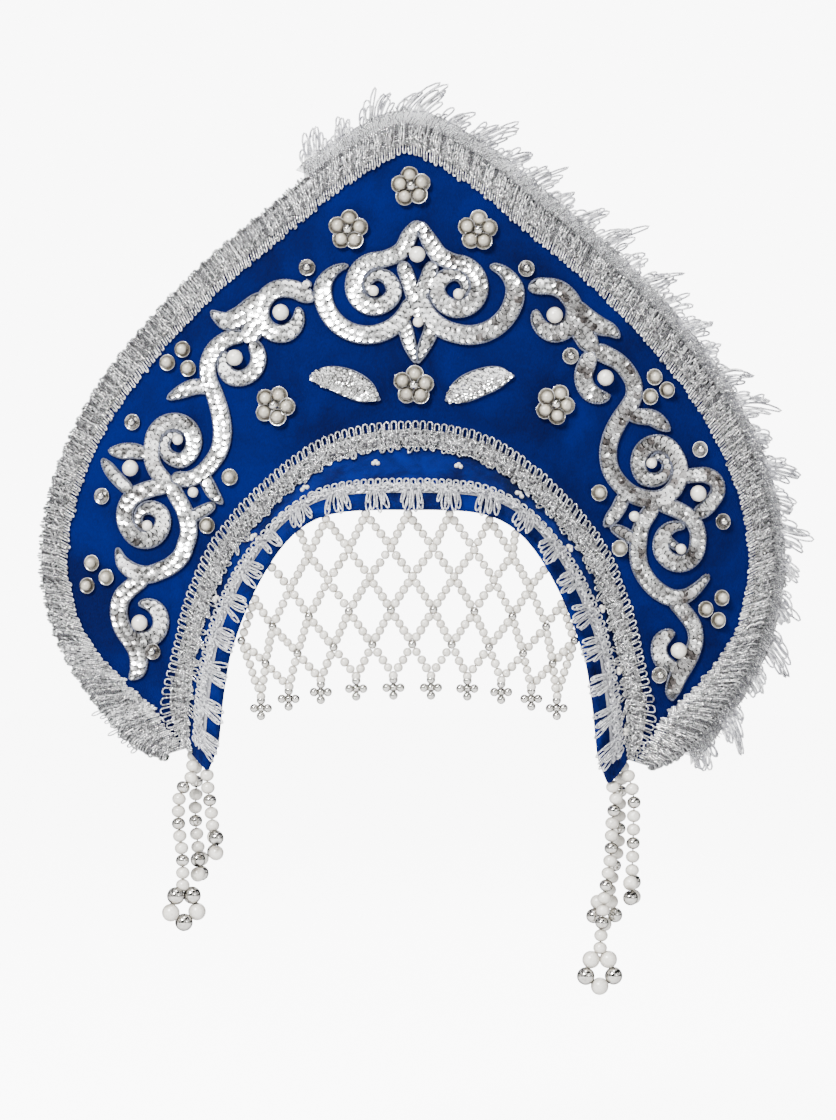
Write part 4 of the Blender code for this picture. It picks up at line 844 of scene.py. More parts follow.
def pile_group():
    """Pile of velour or velvet: Shade is painted sheen and shade, where the pile lies over and catches more or less
    light, in broad and fine patches, and Height its tufts. Formula: a sum of noises at the patch's scale and at the
    pile's, stretched along the card."""
    tree, ins, outs = new_group("pile", ("Patch", "Pile"), (30.0, 2200.0), ("Shade", "Height"))
    broad = noise(tree, ins["Vector"], ins["Patch"], 5.0, Roughness=0.6, Distortion=0.6)
    brushed = add(tree, "Mapping", {"Vector": ins["Vector"], "Scale": (1.0, 1.0, 0.35)}).outputs["Vector"]
    fine = noise(tree, brushed, ins["Pile"], 3.0, Roughness=0.7)
    shade = worked(tree, "ADD", mapped(tree, broad, 0.36, 0.66, 0.0, 0.75), mapped(tree, fine, 0.35, 0.65, 0.0, 0.45))
    tree.links.new(shade, outs["Shade"])
    tree.links.new(fine, outs["Height"])
    return tree


def twist_group():
    """Twisted thread: Height is the ply's round back. Formula: half a sine of along / pitch + turns round."""
    tree, ins, outs = new_group("twist", ("Pitch",), (1.0,), ("Height",))
    parts = add(tree, "SeparateXYZ", {"Vector": ins["Vector"]}).outputs
    phase = worked(tree, "ADD", worked(tree, "DIVIDE", parts["X"], ins["Pitch"]), parts["Y"])
    wave = worked(tree, "SINE", worked(tree, "MULTIPLY", phase, 2 * math.pi))
    tree.links.new(mapped(tree, wave, -1.0, 1.0), outs["Height"])
    return tree


def glint_group():
    """Glints of cut foil: Glint is a random brightness for each cell of foil. Formula: the colour of the nearest
    cell, read as one value and sharpened."""
    tree, ins, outs = new_group("glints", ("Cells",), (1500.0,), ("Glint", "Height"))
    cells = add(tree, "TexVoronoi", {"Vector": ins["Vector"], "Scale": ins["Cells"]}).outputs["Color"]
    parts = add(tree, "SeparateColor", {"Color": cells}).outputs
    tree.links.new(mapped(tree, parts["Red"], 0.08, 0.92), outs["Glint"])
    tree.links.new(parts["Green"], outs["Height"])
    return tree


GROUPS = {}


def group(tree, name, inputs):
    """Outputs of a node of one of the shader groups, which is made once."""
    if name not in GROUPS:
        GROUPS[name] = {"pile": pile_group, "twist": twist_group, "glints": glint_group}[name]()
    made = tree.nodes.new("ShaderNodeGroup")
    made.node_tree = GROUPS[name]
    for label, value in inputs.items():
        if isinstance(value, bpy.types.NodeSocket):
            tree.links.new(value, made.inputs[label])
        else:
            made.inputs[label].default_value = value
    return made.outputs


def finish(name, **constants):
    """Material with a Principled shader whose plain sockets are set. Gives it, its tree, and its object
    coordinates, run coordinates and brightness attribute."""
    made = bpy.data.materials.new(name)
    made.use_nodes = True
    tree = made.node_tree
    for label, value in constants.items():
        tree.nodes["Principled BSDF"].inputs[label.replace("_", " ")].default_value = value
    return (made, tree, add(tree, "TexCoord").outputs["Object"], add(tree, "UVMap", uv_map="run").outputs["UV"],
            add(tree, "Attribute", attribute_name="tone").outputs["Fac"])


def feed(tree, colour_socket, roughness=None, bump=None):
    """Links of the shader's colour, its roughness and its bump, which is (height, strength, distance)."""
    shader = tree.nodes["Principled BSDF"]
    tree.links.new(colour_socket, shader.inputs["Base Color"])
    if roughness is not None:
        tree.links.new(roughness, shader.inputs["Roughness"])
    if bump is not None:
        made = add(tree, "Bump", {"Height": bump[0], "Strength": bump[1], "Distance": bump[2]})
        tree.links.new(made.outputs["Normal"], shader.inputs["Normal"])


def cloth_finish(name, light, deep, patch, sheen, roughness):
    """Pile cloth in patches between its lit and its shaded colour: painted sheen and shade of the pile."""
    made, tree, place, _, _ = finish(name, Roughness=roughness, Sheen_Weight=sheen, Sheen_Roughness=0.45,
                                     Sheen_Tint=(0.25, 0.42, 1.0, 1.0), Specular_IOR_Level=0.06)
    pile = group(tree, "pile", {"Vector": place, "Patch": patch, "Pile": 2400.0})
    feed(tree, blended(tree, pile["Shade"], deep, light), bump=(pile["Height"], 0.55, 0.0004))
    return made


def thread_finish(name, light, dark, pitch, cells, metallic, roughness):
    """Lurex thread: twisted plies with painted glints of foil, a painted highlight on each ply's round back and a
    brightness of each thread's own, all blended between the lit and the turned-away thread colour.
    """
    made, tree, place, run, tone = finish(name, Metallic=metallic)
    twist = group(tree, "twist", {"Vector": run, "Pitch": pitch})["Height"]
    glint = group(tree, "glints", {"Vector": place, "Cells": cells})["Glint"]
    # Painted light: the glints, each thread's tone and the plies' round backs lift the colour from the turned-away
    # towards the lit thread.
    more = worked(tree, "ADD", worked(tree, "MULTIPLY", glint, tone), mapped(tree, twist, 0.0, 1.0, 0.0, 0.35))
    feed(tree, blended(tree, mapped(tree, more, 0.14, 0.88), dark, light),
         mapped(tree, glint, 0.0, 1.0, roughness + 0.18, roughness - 0.1), (twist, 0.7, 0.0003))
    return made


def sequin_finish(name, bright, shaded, roughness):
    """Metallised sequins: each mirrors its own share of light, with fine scratches that spread it."""
    made, tree, place, _, tone = finish(name, Metallic=1.0)
    smear = noise(tree, place, 900.0, 3.0)
    share = worked(tree, "ADD", tone, mapped(tree, smear, 0.3, 0.7, -0.05, 0.05))
    feed(tree, blended(tree, mapped(tree, share, 0.0, 1.0), shaded, bright),
         mapped(tree, smear, 0.3, 0.7, roughness, roughness + 0.16), (smear, 0.015, 0.0004))
    return made


def foil_finish(name, bright, shaded):
    """Fine foil flakes, as in the leaves, with painted glints: each cell's glint and the tone blend between the bright
    and the shaded foil.
    """
    made, tree, place, _, tone = finish(name, Metallic=0.9)
    glints = group(tree, "glints", {"Vector": place, "Cells": 1900.0})
    feed(tree, blended(tree, worked(tree, "MULTIPLY", glints["Glint"], tone), shaded, bright),
         mapped(tree, glints["Glint"], 0.0, 1.0, 0.5, 0.18), (glints["Height"], 0.8, 0.0004))
    return made


def pearl_finish(name, shade, rim):
    """Pearl lacquer: a soft clouding under a clear coat, with painted shade: darker towards the bead's rim, and
    towards its poles where its tone falls.
    """
    made, tree, place, _, tone = finish(name, Coat_Weight=1.0, Coat_Roughness=0.32, Specular_IOR_Level=0.8)
    cloud = noise(tree, place, 420.0, 2.0)
    share = worked(tree, "MULTIPLY", mapped(tree, cloud, 0.3, 0.7, 0.8, 1.0), tone)
    facing = mapped(tree, add(tree, "LayerWeight", {"Blend": 0.35}).outputs["Facing"], 0.08, 0.80)
    feed(tree, blended(tree, facing, blended(tree, share, rim, shade), rim), mapped(tree, cloud, 0.3, 0.7, 0.24, 0.36))
    return made


def bead_finish(name, shade):
    """Silvered bead with slightly worn plating and painted shade: a dark rim, and dark poles where beads touch on the
    thread.
    """
    made, tree, place, _, tone = finish(name, Metallic=1.0, Specular_Tint=(0.12, 0.12, 0.12, 1.0))
    wear = noise(tree, place, 700.0, 4.0)
    plating = blended(tree, mapped(tree, wear, 0.35, 0.6), tuple(0.72 * part for part in shade), shade)
    facing = mapped(tree, add(tree, "LayerWeight", {"Blend": 0.4}).outputs["Facing"], 0.25, 0.8)
    # Painted shade: near-black towards the bead's rim.
    plating = blended(tree, facing, plating, (0.06, 0.06, 0.065))
    # Painted shade: near-black where the tone falls, towards the poles where beads touch.
    feed(tree, blended(tree, mapped(tree, tone, 0.1, 0.5), (0.02, 0.02, 0.02), plating),
         mapped(tree, wear, 0.3, 0.7, 0.05, 0.20))
    return made


FINISHES = {}


def finish_of(name):
    """One of the headdress's materials, made when first asked for."""
    if name not in FINISHES:
        look = bpy.context.scene.headdress_colours
        make = {
            "velour": lambda: cloth_finish("velour", look.velour, look.velour_deep, 22.0, 0.02, 0.9),
            "velvet": lambda: cloth_finish("velvet", look.velvet, look.velvet_deep, 60.0, 0.03, 0.8),
            "lurex": lambda: thread_finish("lurex", look.lurex, look.lurex_dark, 0.9, 1100.0, 0.92, 0.26),
            "lace": lambda: thread_finish("lace_thread", look.lace, look.lace_dark, 1.1, 900.0, 0.55, 0.34),
            "sheer": lambda: thread_finish("sheer_thread", look.fringe, look.lace_dark, 0.8, 700.0, 0.45, 0.40),
            "cord": lambda: thread_finish("cord", look.cord, look.lurex_dark, 1.2, 900.0, 0.55, 0.40),
            "sequin": lambda: sequin_finish("sequin", look.sequin, look.sequin_warm, 0.14),
            "foil": lambda: foil_finish("foil", look.sequin, look.lurex_dark),
            "pearl": lambda: pearl_finish("pearl", look.pearl, look.pearl_rim),
            "ivory": lambda: pearl_finish("ivory_pearl", look.ivory, look.ivory_rim),
            "silver": lambda: bead_finish("silver_bead", look.silver),
        }
        FINISHES[name] = make[name]()
    return FINISHES[name]


# Pieces

CREST_STATIONS, CREST_COLUMNS, CREST_RIM = 300, 24, 0.0007


class HEADDRESS_OT_crest(bpy.types.Operator):
    """Velour crest: the card between the arch and the crest's edge, with rounded rims. Formula: field(way, out) bent
    at a height that swells by slow sines."""

    bl_idname = "headdress.crest"
    bl_label = "Velour crest"

    def execute(self, context):
        way, share = np.linspace(0, 1, CREST_STATIONS), np.linspace(0, 1, CREST_COLUMNS)
        crest, arch, _ = outlines(way)
        inset = (CREST_RIM / np.maximum(np.linalg.norm(crest - arch, axis=1), 0.01))[:, None]
        inner = (inset + (1 - 2 * inset) * share).T
        swell = 0.00012 * (np.sin(way * 61.0)[:, None] * np.sin(share * 9.0 + 1.0)
                           + np.sin(way * 37.0 + 2.0)[:, None] * np.sin(share * 5.0)).T
        edge, low = np.ones(CREST_STATIONS), CREST_RIM - CREST_THICKNESS
        rows = (list(zip(inner, swell - 0.00012)) + [(edge, -0.0008), (edge, low)]
                + [(out, -CREST_THICKNESS) for out in inner[::-1]] + [(0 * edge, low), (0 * edge, -0.0008)])
        ring = np.stack([bent(field(way, out), height) for out, height in rows], axis=1)
        piece("crest_velour", [closed_strip(ring[:, ::-1])], ["velour"], ["crest_board"], crease=60)
        return {"FINISHED"}


BAND_STATIONS, BAND_COLUMNS = 320, 12


class HEADDRESS_OT_band(bpy.types.Operator):
    """Padded velvet band: a rolled front edge, a crowned slope to the arch and a tail behind the crest. Formula: the
    outer front line + (corner - front) * s + normal * sin(pi s) * (crown + ripple)."""

    bl_idname = "headdress.band"
    bl_label = "Velvet band"

    def execute(self, context):
        way = np.linspace(0, 1, BAND_STATIONS)
        share = np.linspace(0, 1, BAND_COLUMNS)[None, :, None]
        band = {name: value[:, None] for name, value in band_frame(way).items()}
        ripple = (0.00018 * np.sin(way * 130.0) * np.sin(way * 17.0)
                  + 0.00015 * np.sin(way * 71.0 + 1.0))[:, None, None]
        front, slope, off = band["outer_front"], band["slope"], band["off"]
        face = front + (band["outer_corner"] - front) * share + off * (np.sin(math.pi * share) * (0.0005 + ripple))
        back = band["corner"] + (band["front"] - band["corner"]) * share[:, 1:]
        ring = np.concatenate(
            [face[:, :1], (face[:, :1] + face[:, 1:2]) / 2, face[:, 1:], band["outer_rear"], band["rear"],
             band["corner"], back, band["front"] - slope * 0.0008,
             band["front"] - slope * 0.0011 + off * BAND_WALL * 0.5, front - slope * 0.0006 - off * 0.0004], axis=1)
        made = piece("band_velvet", [closed_strip(ring[:, ::-1])], ["velvet"], ["head_band"], crease=50)
        return {"FINISHED"}


def hairpins(starts, width):
    """Hairpin loops of a thread. Formula: run = start + width * (-1, -1, sin t, 1, 1) for t from -90 to 90 degrees.
    Gives the runs, the share of the way to the tip and how far the tip's half circle is on."""
    t = np.linspace(-math.pi / 2, math.pi / 2, 5)
    side = np.concatenate([[-1, -1], np.sin(t), [1, 1]]) * width
    return (starts[:, None] + side, np.concatenate([[0.0, 0.5], np.ones(5), [0.5, 0.0]]),
            np.concatenate([[0, 0], np.cos(t), [0, 0]]))


def teardrops(width, reach, points=13):
    """Open loops of a thread, narrow at the foot. Formula: side = width sin(t) sin(t / 2)^0.8, reach = reach
    (1 - cos t) / 2, for t from 0 to a whole turn."""
    t = np.linspace(0.12, 2 * math.pi - 0.12, points)
    return (np.reshape(width, (-1, 1)) * np.sin(t) * np.sin(t / 2) ** 0.8,
            np.reshape(reach, (-1, 1)) * (1 - np.cos(t)) / 2)


def wavy(rng, total, wavelength, low, high, drift=0.4):
    """A thread that weaves along a braid. Formula: a sine across between low and high, whose amplitude and middle
    wander with slower sines. Gives run and across arrays of one path."""
    run = np.linspace(0, total, int(total / wavelength * 8))
    phase = rng.uniform(0, 2 * math.pi, 4)
    swing = 0.75 + drift * np.sin(run * 410 + phase[0]) + 0.5 * drift * np.sin(run * 977 + phase[1])
    across = (low + high) / 2 + (high - low) / 2 * np.clip(
        swing * np.sin(2 * math.pi * run / wavelength + phase[2]) + 0.25 * np.sin(run * 690 + phase[3]), -1.1, 1.1)
    run = run + 0.22 * wavelength * np.sin(4 * math.pi * run / wavelength + phase[1])
    return np.clip(run, 0, total)[None], across[None]


def puffs(run):
    """How far the edge braid puffs up at a length along it."""
    return np.abs(np.sin(math.pi * run / PUFF_PITCH)) ** 0.7


WRAP_PITCH = 0.00118
EDGE_GROUND = (
    # across, beyond, height
    (0.33, 0.0, 0.0003), (0.33, 0.0, 0.0013), (0.5, 0.0, 0.0019), (0.92, 0.0, 0.0018), (1.0, 0.0011, 0.0010),
    (1.0, 0.0019, -0.0008), (1.0, 0.0018, -CREST_THICKNESS + 0.0006), (1.0, 0.0007, -CREST_THICKNESS),
    (1.0, 0.0006, -0.0010), (1.0, 0.0004, 0.0004),
)
EDGE_WRAP = np.array((
    # across, beyond, height
    (0.30, 0.0, 0.0014), (0.38, 0.0, 0.0018), (0.49, 0.0, 0.0021), (0.62, 0.0, 0.0023), (0.78, 0.0, 0.0025),
    (0.93, 0.0004, 0.0023), (1.0, 0.0014, 0.0015), (1.0, 0.0021, 0.0), (1.0, 0.0021, -0.0016),
    (1.0, 0.0018, -0.0032), (1.0, 0.0010, -0.0042),
))
EDGE_WEAVE = (
    # inner side, outer side, height, wavelength
    (0.30, 0.72, 0.0029, 0.0058),
    (0.55, 0.98, 0.0030, 0.0047),
)


class HEADDRESS_OT_edge_braid(bpy.types.Operator):
    """Silver braid along the crest's edge: small loops on the velour, woven thread and a wrap round the edge."""

    bl_idname = "headdress.edge_braid"
    bl_label = "Edge braid"

    def execute(self, context):
        size, rng = context.scene.headdress_sizes, np.random.default_rng(RANDOM_SEED)
        total, thread = RUNS[0][-1], size.thread
        run = np.linspace(0, total, 520)
        puff = 0.0009 * puffs(run) * (way_at(run, 0) < FRINGE_START_WAY)
        ring = np.stack([crest_place(run, across, beyond + puff * (beyond > 0.001), height)[0]
                         for across, beyond, height in EDGE_GROUND], axis=1)
        # The ground strip's low tone gives it the turned-away lurex colour: painted shade in the gaps between the
        # braid's threads.
        shells = [closed_strip(ring[:, ::-1], tone=0.1)]
        # small loops on the velour
        starts = np.arange(0.001, total - 0.001, size.rib_pitch)
        starts = starts + rng.normal(0, 0.00015, len(starts))
        tips = rng.normal(0.015, 0.03, len(starts))[:, None]
        run, share, bend = hairpins(starts, size.rib_pitch * 0.26)
        placed = crest_place(np.clip(run, 0, total), 0.42 + (tips - 0.36) * share - 0.07 * bend, 0.0,
                             0.0010 + 0.0009 * (1 - share))
        shells.append(threads(placed, thread * 1.45, 6, rng.uniform(0.7, 1.4, len(starts))))
        # slanting threads in puffs, wrapped over the edge to the back
        starts = np.arange(0.0008, total - 0.0008, WRAP_PITCH)
        count = len(starts)
        starts = starts + rng.normal(0, 0.00013, count)
        puff, wrapped = puffs(starts)[:, None], (way_at(starts, 0) < FRINGE_START_WAY)[:, None]
        across, beyond, height = EDGE_WRAP.T
        crook = np.sin(across * 21 + rng.uniform(0, 6.28, (count, 1))) * 0.00035
        lean = np.where(wrapped, -0.0034, 0.0014) * (across - 0.3)
        outward = beyond + (beyond > 0.001) * (0.0015 * puff * wrapped
                                               + rng.uniform(-0.0003, 0.0003, count)[:, None])
        raised = height + (0.0007 * puff + rng.uniform(-0.0003, 0.0003, (count, 1))) * (height > 0.0013)
        across = np.clip(across + rng.normal(0, 0.02, (count, 1)), 0, 1)
        paths, _ = crest_place(np.clip(starts[:, None] + lean + crook, 0, total), across, outward, raised)
        ref = np.cross(unit(np.gradient(paths, axis=1)), unit(np.gradient(paths, axis=0)))
        # The threads' tone is lighter on the puffs' crests and darker in their valleys: painted light and shade, with
        # a random part.
        shells.append(tubes(paths, thread * 1.60, ref, 4,
                            np.clip(0.15 + 0.65 * puff[:, 0] + rng.normal(0, 0.45, count), 0.0, 1.4)))
        # crinkled threads that run along it
        for low, high, lift, wave in EDGE_WEAVE:
            run, across = wavy(rng, total, wave, low, high)
            shells.append(threads(crest_place(run, across, 0.0, lift + 0.0005 * np.sin(run * 1700)), thread * 0.95, 4,
                                  rng.uniform(0.9, 1.2)))
        piece("edge_braid", shells, ["lurex"], ["crest_edge_braid"])
        return {"FINISHED"}


MESH_PITCH = 0.00056
LOCK_LOOPS = 10
STRAY_WAY, STRAY_LOOPS = 0.042, 9


class HEADDRESS_OT_fringe(bpy.types.Operator):
    """Loop fringe: a sheer mesh beyond the braid, its dark selvedge thread and clumps of long loops."""

    bl_idname = "headdress.fringe"
    bl_label = "Loop fringe"

    def execute(self, context):
        rng = np.random.default_rng(RANDOM_SEED + 1)
        first, last = run_at(FRINGE_START_WAY, 0), run_at(FRINGE_END_WAY, 0)
        near, far, depth = WRAP_GAP + 0.0004, FRINGE_MESH + 0.0022, -0.0009
        shells = []
        # mesh of two crossing sets of threads
        for direction in (-1, 1):
            starts = np.arange(first, last, MESH_PITCH)
            placed = crest_place(starts[:, None] + direction * 0.0021 * np.linspace(-1, 1, 4), 1.0,
                                 np.linspace(near, far, 4), depth + 0.00012 * direction)
            shells.append(threads(placed, 0.00024, 4, rng.uniform(-0.1, 0.7, len(starts)), 1))
        # crinkled ends of the braid's thread over the mesh
        starts = np.arange(first, last, 0.0013)[:, None]
        reach = np.linspace(-0.0006, 0.0052, 7)
        run = starts + 0.0005 * np.sin(reach * 2600 + rng.uniform(0, 6.28, starts.shape)) + reach * 0.3
        placed = crest_place(run, 1.0, reach * rng.uniform(0.7, 1.7, starts.shape) + 0.0012, 0.0004)
        shells.append(threads(placed, 0.00034, 4, rng.uniform(0.2, 1.1, len(starts))))
        # selvedge
        line = np.linspace(first, last, 900)[None]
        for beyond, radius, tone, material in ((far, 0.00026, 0.0, 0), (far - 0.0006, 0.00018, 0.9, 1)):
            placed = crest_place(line, 1.0, beyond + 0.0002 * np.sin(line * 900), depth + 0.0002)
            shells.append(threads(placed, radius, 4, tone, material))
        # clumps of loops
        ways = np.linspace(FRINGE_START_WAY, FRINGE_END_WAY, 2 * FRINGE_LOCKS + 1)[1::2]
        longest = np.resize(LOCK_LENGTHS, FRINGE_LOCKS)[:, None] * FRINGE_LOOP
        shape = (FRINGE_LOCKS, LOCK_LOOPS)
        foot = (run_at(ways, 0)[:, None] + (last - first) / FRINGE_LOCKS * np.linspace(-0.36, 0.36, LOCK_LOOPS)
                + rng.normal(0, 0.0006, shape)).reshape(-1, 1)
        hill = 1.45 * (1 - 0.62 * np.abs(np.linspace(-1, 1, LOCK_LOOPS)) ** 1.2)
        reach_to = (longest * hill * rng.uniform(0.55, 1.08, shape)).reshape(-1, 1)
        side, reach = teardrops(rng.uniform(0.0009, 0.0020, len(foot)), reach_to)
        bow = rng.normal(0.10, 0.08, foot.shape)
        lean = 0.34 + rng.normal(0, 0.07, foot.shape)
        run = foot + side + reach * lean + bow * reach**2 / np.maximum(reach_to, 0.004)
        height = depth + rng.normal(0, 0.0010, foot.shape) * reach / 0.01
        placed = crest_place(np.clip(run, 0, RUNS[0][-1]), 1.0, far - 0.0012 + reach * 0.95, height)
        shells.append(threads(placed, 0.00048, 6, rng.uniform(0.4, 1.2, len(foot)), 1))
        # stray loops at the left corner
        corner = run_at(STRAY_WAY, 0) + np.linspace(-0.012, 0.012, STRAY_LOOPS)
        side, reach = teardrops(0.0009, rng.uniform(0.003, 0.008, STRAY_LOOPS), 11)
        placed = crest_place(corner[:, None] + side + reach * 0.3, 1.0, 0.0016 + reach, -0.002)
        shells.append(threads(placed, 0.00042, 4, rng.uniform(0.4, 1.2, STRAY_LOOPS), 1))
        piece("loop_fringe", shells, ["lurex", "sheer"], ["edge_fringe"])
        return {"FINISHED"}


ARCH_GROUND = ((0.06, 0.0003), (0.06, 0.0012), (0.35, 0.0016), (0.62, 0.0014), (0.66, 0.0009), (0.66, 0.0003))
ARCH_WEAVE = (
    # inner side, outer side, height, wavelength
    (0.05, 0.62, 0.0018, 0.0040),
    (0.0, 0.45, 0.0022, 0.0034),
    (0.25, 0.70, 0.0022, 0.0037),
    (0.10, 0.60, 0.0026, 0.0052),
)
ARCH_FAN_LOOPS = 5


class HEADDRESS_OT_arch_braid(bpy.types.Operator):
    """Silver braid round the arch: small loops on the velour, woven thread and ragged fans over the band."""

    bl_idname = "headdress.arch_braid"
    bl_label = "Arch braid"

    def execute(self, context):
        size, rng = context.scene.headdress_sizes, np.random.default_rng(RANDOM_SEED + 2)
        total, thread = RUNS[1][-1], size.thread
        run = np.linspace(0, total, 360)
        ring = np.stack([arch_place(run, across, 0.0, height)[0] for across, height in ARCH_GROUND], axis=1)
        # The ground strip's low tone gives it the turned-away lurex colour: painted shade in the gaps between the
        # braid's threads.
        shells = [closed_strip(ring[:, ::-1], tone=0.15)]
        # small loops on the velour
        starts = np.arange(0.001, total - 0.001, size.lace_pitch) + rng.normal(0, 0.00012)
        run, share, bend = hairpins(starts, size.lace_pitch * 0.33)
        tips = rng.normal(0.90, 0.015, len(starts))[:, None]
        placed = arch_place(np.clip(run, 0, total), 0.52 + (tips - 0.52) * share + 0.09 * bend, 0.0,
                            0.0016 - 0.0006 * share)
        shells.append(threads(placed, thread * 1.4, 6, rng.uniform(0.7, 1.2, len(starts))))
        for low, high, lift, wave in ARCH_WEAVE:
            run, across = wavy(rng, total, wave, low, high)
            shells.append(threads(arch_place(run, across, 0.0, lift + 0.0004 * np.sin(run * 1900)), thread * 1.35, 6,
                                  rng.uniform(0.6, 1.2)))
        # ragged fans
        feet = np.arange(0.004, total - 0.004, size.fan_pitch)[:, None]
        splay, shape = np.linspace(-1, 1, ARCH_FAN_LOOPS), (len(feet), ARCH_FAN_LOOPS)
        base = (feet + 0.0042 * splay + rng.normal(0, 0.0005, shape)).reshape(-1, 1)
        side, reach = teardrops(0.0012, (0.0088 - 0.0026 * splay**2) * rng.uniform(0.65, 1.2, shape))
        lean = np.resize(splay, base.shape) * 0.35 + rng.normal(0, 0.22, base.shape)
        drop = reach - 0.0022
        placed = arch_place(np.clip(base + side + lean * reach, 0, total), np.clip(-drop / ARCH_BRAID_WIDTH, 0, 1),
                            np.maximum(drop, 0), 0.0014 + 0.0003 * np.sin(reach * 900))
        shells.append(threads(placed, thread * 1.45, 6, rng.uniform(0.6, 1.3, len(base))))
        # short loops between them
        starts = np.arange(0.0015, total - 0.0015, 0.0021) + rng.normal(0, 0.0002)
        side, reach = teardrops(0.0009, rng.uniform(0.0024, 0.0052, len(starts)), 9)
        drop = reach - 0.0016
        placed = arch_place(starts[:, None] + side, np.clip(-drop / ARCH_BRAID_WIDTH, 0, 1), np.maximum(drop, 0),
                            0.0013)
        shells.append(threads(placed, thread * 1.3, 4, rng.uniform(0.5, 1.2, len(starts))))
        piece("arch_braid_loops", shells, ["lurex"], ["arch_braid"])
        return {"FINISHED"}


LACE_START_WAY, LACE_END_WAY = 0.012, 0.988
LACE_WIDTH = 0.0165
LACE_GROUND = ((0.0094, 0.0005), (0.0094, 0.0009), (0.0034, 0.0010), (0.0034, 0.0005))
LACE_WEAVE = (
    # lower side, upper side, height, wavelength
    (0.0096, 0.0038, 0.0017, 0.0036),
    (0.0098, 0.0062, 0.0021, 0.0031),
    (0.0074, 0.0036, 0.0021, 0.0033),
    (0.0095, 0.0042, 0.0025, 0.0044),
)
LACE_FANS = (
    # loops, length, half width, height
    (4, 0.0135, 0.00125, 0.0016),
    (3, 0.0105, 0.00080, 0.0024),
)


def lace_top(run):
    """Height of the lace's upper edge: its width, or its share of a narrow slope."""
    return np.minimum(LACE_WIDTH, LACE_COVER * slope_width(way_at(np.ravel(run), 2))).reshape(np.shape(run))


class HEADDRESS_OT_lace(bpy.types.Operator):
    """Bright lace on the band's slope: a row of small loops, a woven body and fans of long loops."""

    bl_idname = "headdress.lace"
    bl_label = "Band lace"

    def execute(self, context):
        size, rng = context.scene.headdress_sizes, np.random.default_rng(RANDOM_SEED + 3)
        first, last = run_at(LACE_START_WAY, 2), run_at(LACE_END_WAY, 2)
        thread = size.thread
        run = np.linspace(first, last, 420)
        top = lace_top(run)
        ring = np.stack([band_place(run, top - down, height)[0] for down, height in LACE_GROUND], axis=1)
        # The ground strip's low tone gives it the turned-away lace colour: painted shade in the gaps between the
        # lace's threads.
        shells = [closed_strip(ring[:, ::-1], tone=0.2)]
        # small loops
        starts = np.arange(first + 0.001, last - 0.001, size.lace_pitch)
        run, share, bend = hairpins(starts, size.lace_pitch * 0.32)
        up = lace_top(run) - 0.0042 + 0.0032 * share + 0.0010 * bend + rng.normal(0, 0.00012, (len(starts), 1))
        shells.append(threads(band_place(run, up, 0.0014 - 0.0003 * share), thread * 1.45, 6,
                              rng.uniform(0.8, 1.3, len(starts))))
        for low, high, lift, wave in LACE_WEAVE:
            run, down = wavy(rng, last - first, wave, low, high, 0.35)
            run = np.clip(run + first, first, last)
            top = lace_top(run)
            shells.append(threads(band_place(run, top - down * top / LACE_WIDTH, lift), thread * 1.25, 6,
                                  rng.uniform(0.8, 1.3)))
        # fans
        feet = np.arange(first + 0.006, last - 0.004, size.fan_pitch)[:, None]
        for loops, reach_to, wide, lift in LACE_FANS:
            splay, shape = np.linspace(-1, 1, loops), (len(feet), loops)
            base = (feet + 0.0028 * splay + rng.normal(0, 0.0003, shape)).reshape(-1, 1)
            longest = ((reach_to - 0.0028 * splay**2) * rng.uniform(0.85, 1.06, shape)).reshape(-1, 1)
            top = lace_top(base)
            side, reach = teardrops(wide, np.minimum(longest + 0.0035, top * 0.72 + 0.0030)
                                    * rng.uniform(0.85, 1.05, base.shape), 15)
            lean = np.resize(splay, base.shape) * 0.10 + rng.normal(0, 0.07, base.shape)
            placed = band_place(np.clip(base + side + lean * reach, first, last),
                                top - 0.0088 * top / LACE_WIDTH - reach, lift + 0.0006 * np.sin(reach * 260))
            shells.append(threads(placed, thread * 1.35, 6, rng.uniform(0.6, 1.3, len(base))))
        piece("lace_loops", shells, ["lace"], ["band_lace"])
        return {"FINISHED"}


LINE_STEP = 0.0009
SEQUIN_PITCH = 0.00262


def dense_line(stroke, full_width, step, reach=None, power=0.5):
    """Flat points along a stroke at even steps with its half widths and unit tangents. Formula: near an end the
    half width falls as (1 - (1 - distance / reach)^2)^power, which rounds it off or draws it to a point."""
    line, half = stroke_line(stroke, full_width, 0.0012)
    run = lengths(line)
    at = np.linspace(0, run[-1], max(3, int(run[-1] / step) + 1))
    line, half = followed(at, run, line), np.interp(at, run, half)
    ends = np.minimum(at, at[-1] - at) / (np.maximum(half * 1.4, 0.0012) if reach is None else reach)
    half = half * np.maximum(1 - (1 - np.clip(ends, 0, 1)) ** 2, 0.0004) ** power
    return line, half, unit(np.gradient(line, axis=0))


def lateral(tangent):
    """Unit directions to the left of the tangents."""
    return np.stack([-tangent[:, 1], tangent[:, 0]], axis=1)


def ribbon_ground(line, half, tangent, top, tone=0.12):
    """Low crowned ground under the sequins; its low tone gives it the shaded foil colour, painted shade in the holes
    and gaps between the sequins. Formula: left * half * s off the line for s from -1 to 1, raised to top * (1 - s^4)."""
    side = lateral(tangent) * half[:, None]
    rows = [bent(line, GAP)] + [bent(line + side * s, GAP + top * (1 - s**4))
                                for s in (1.0, 0.85, 0.45, 0.0, -0.45, -0.85, -1.0)]
    return closed_strip(np.stack(rows, axis=1), tone=tone)


def distances(points, others):
    """Distance from each point to its nearest other point, and which point that is."""
    gaps = np.linalg.norm(points[:, None] - others[None], axis=2)
    nearest = np.argmin(gaps, axis=1)
    return gaps[np.arange(len(points)), nearest], nearest


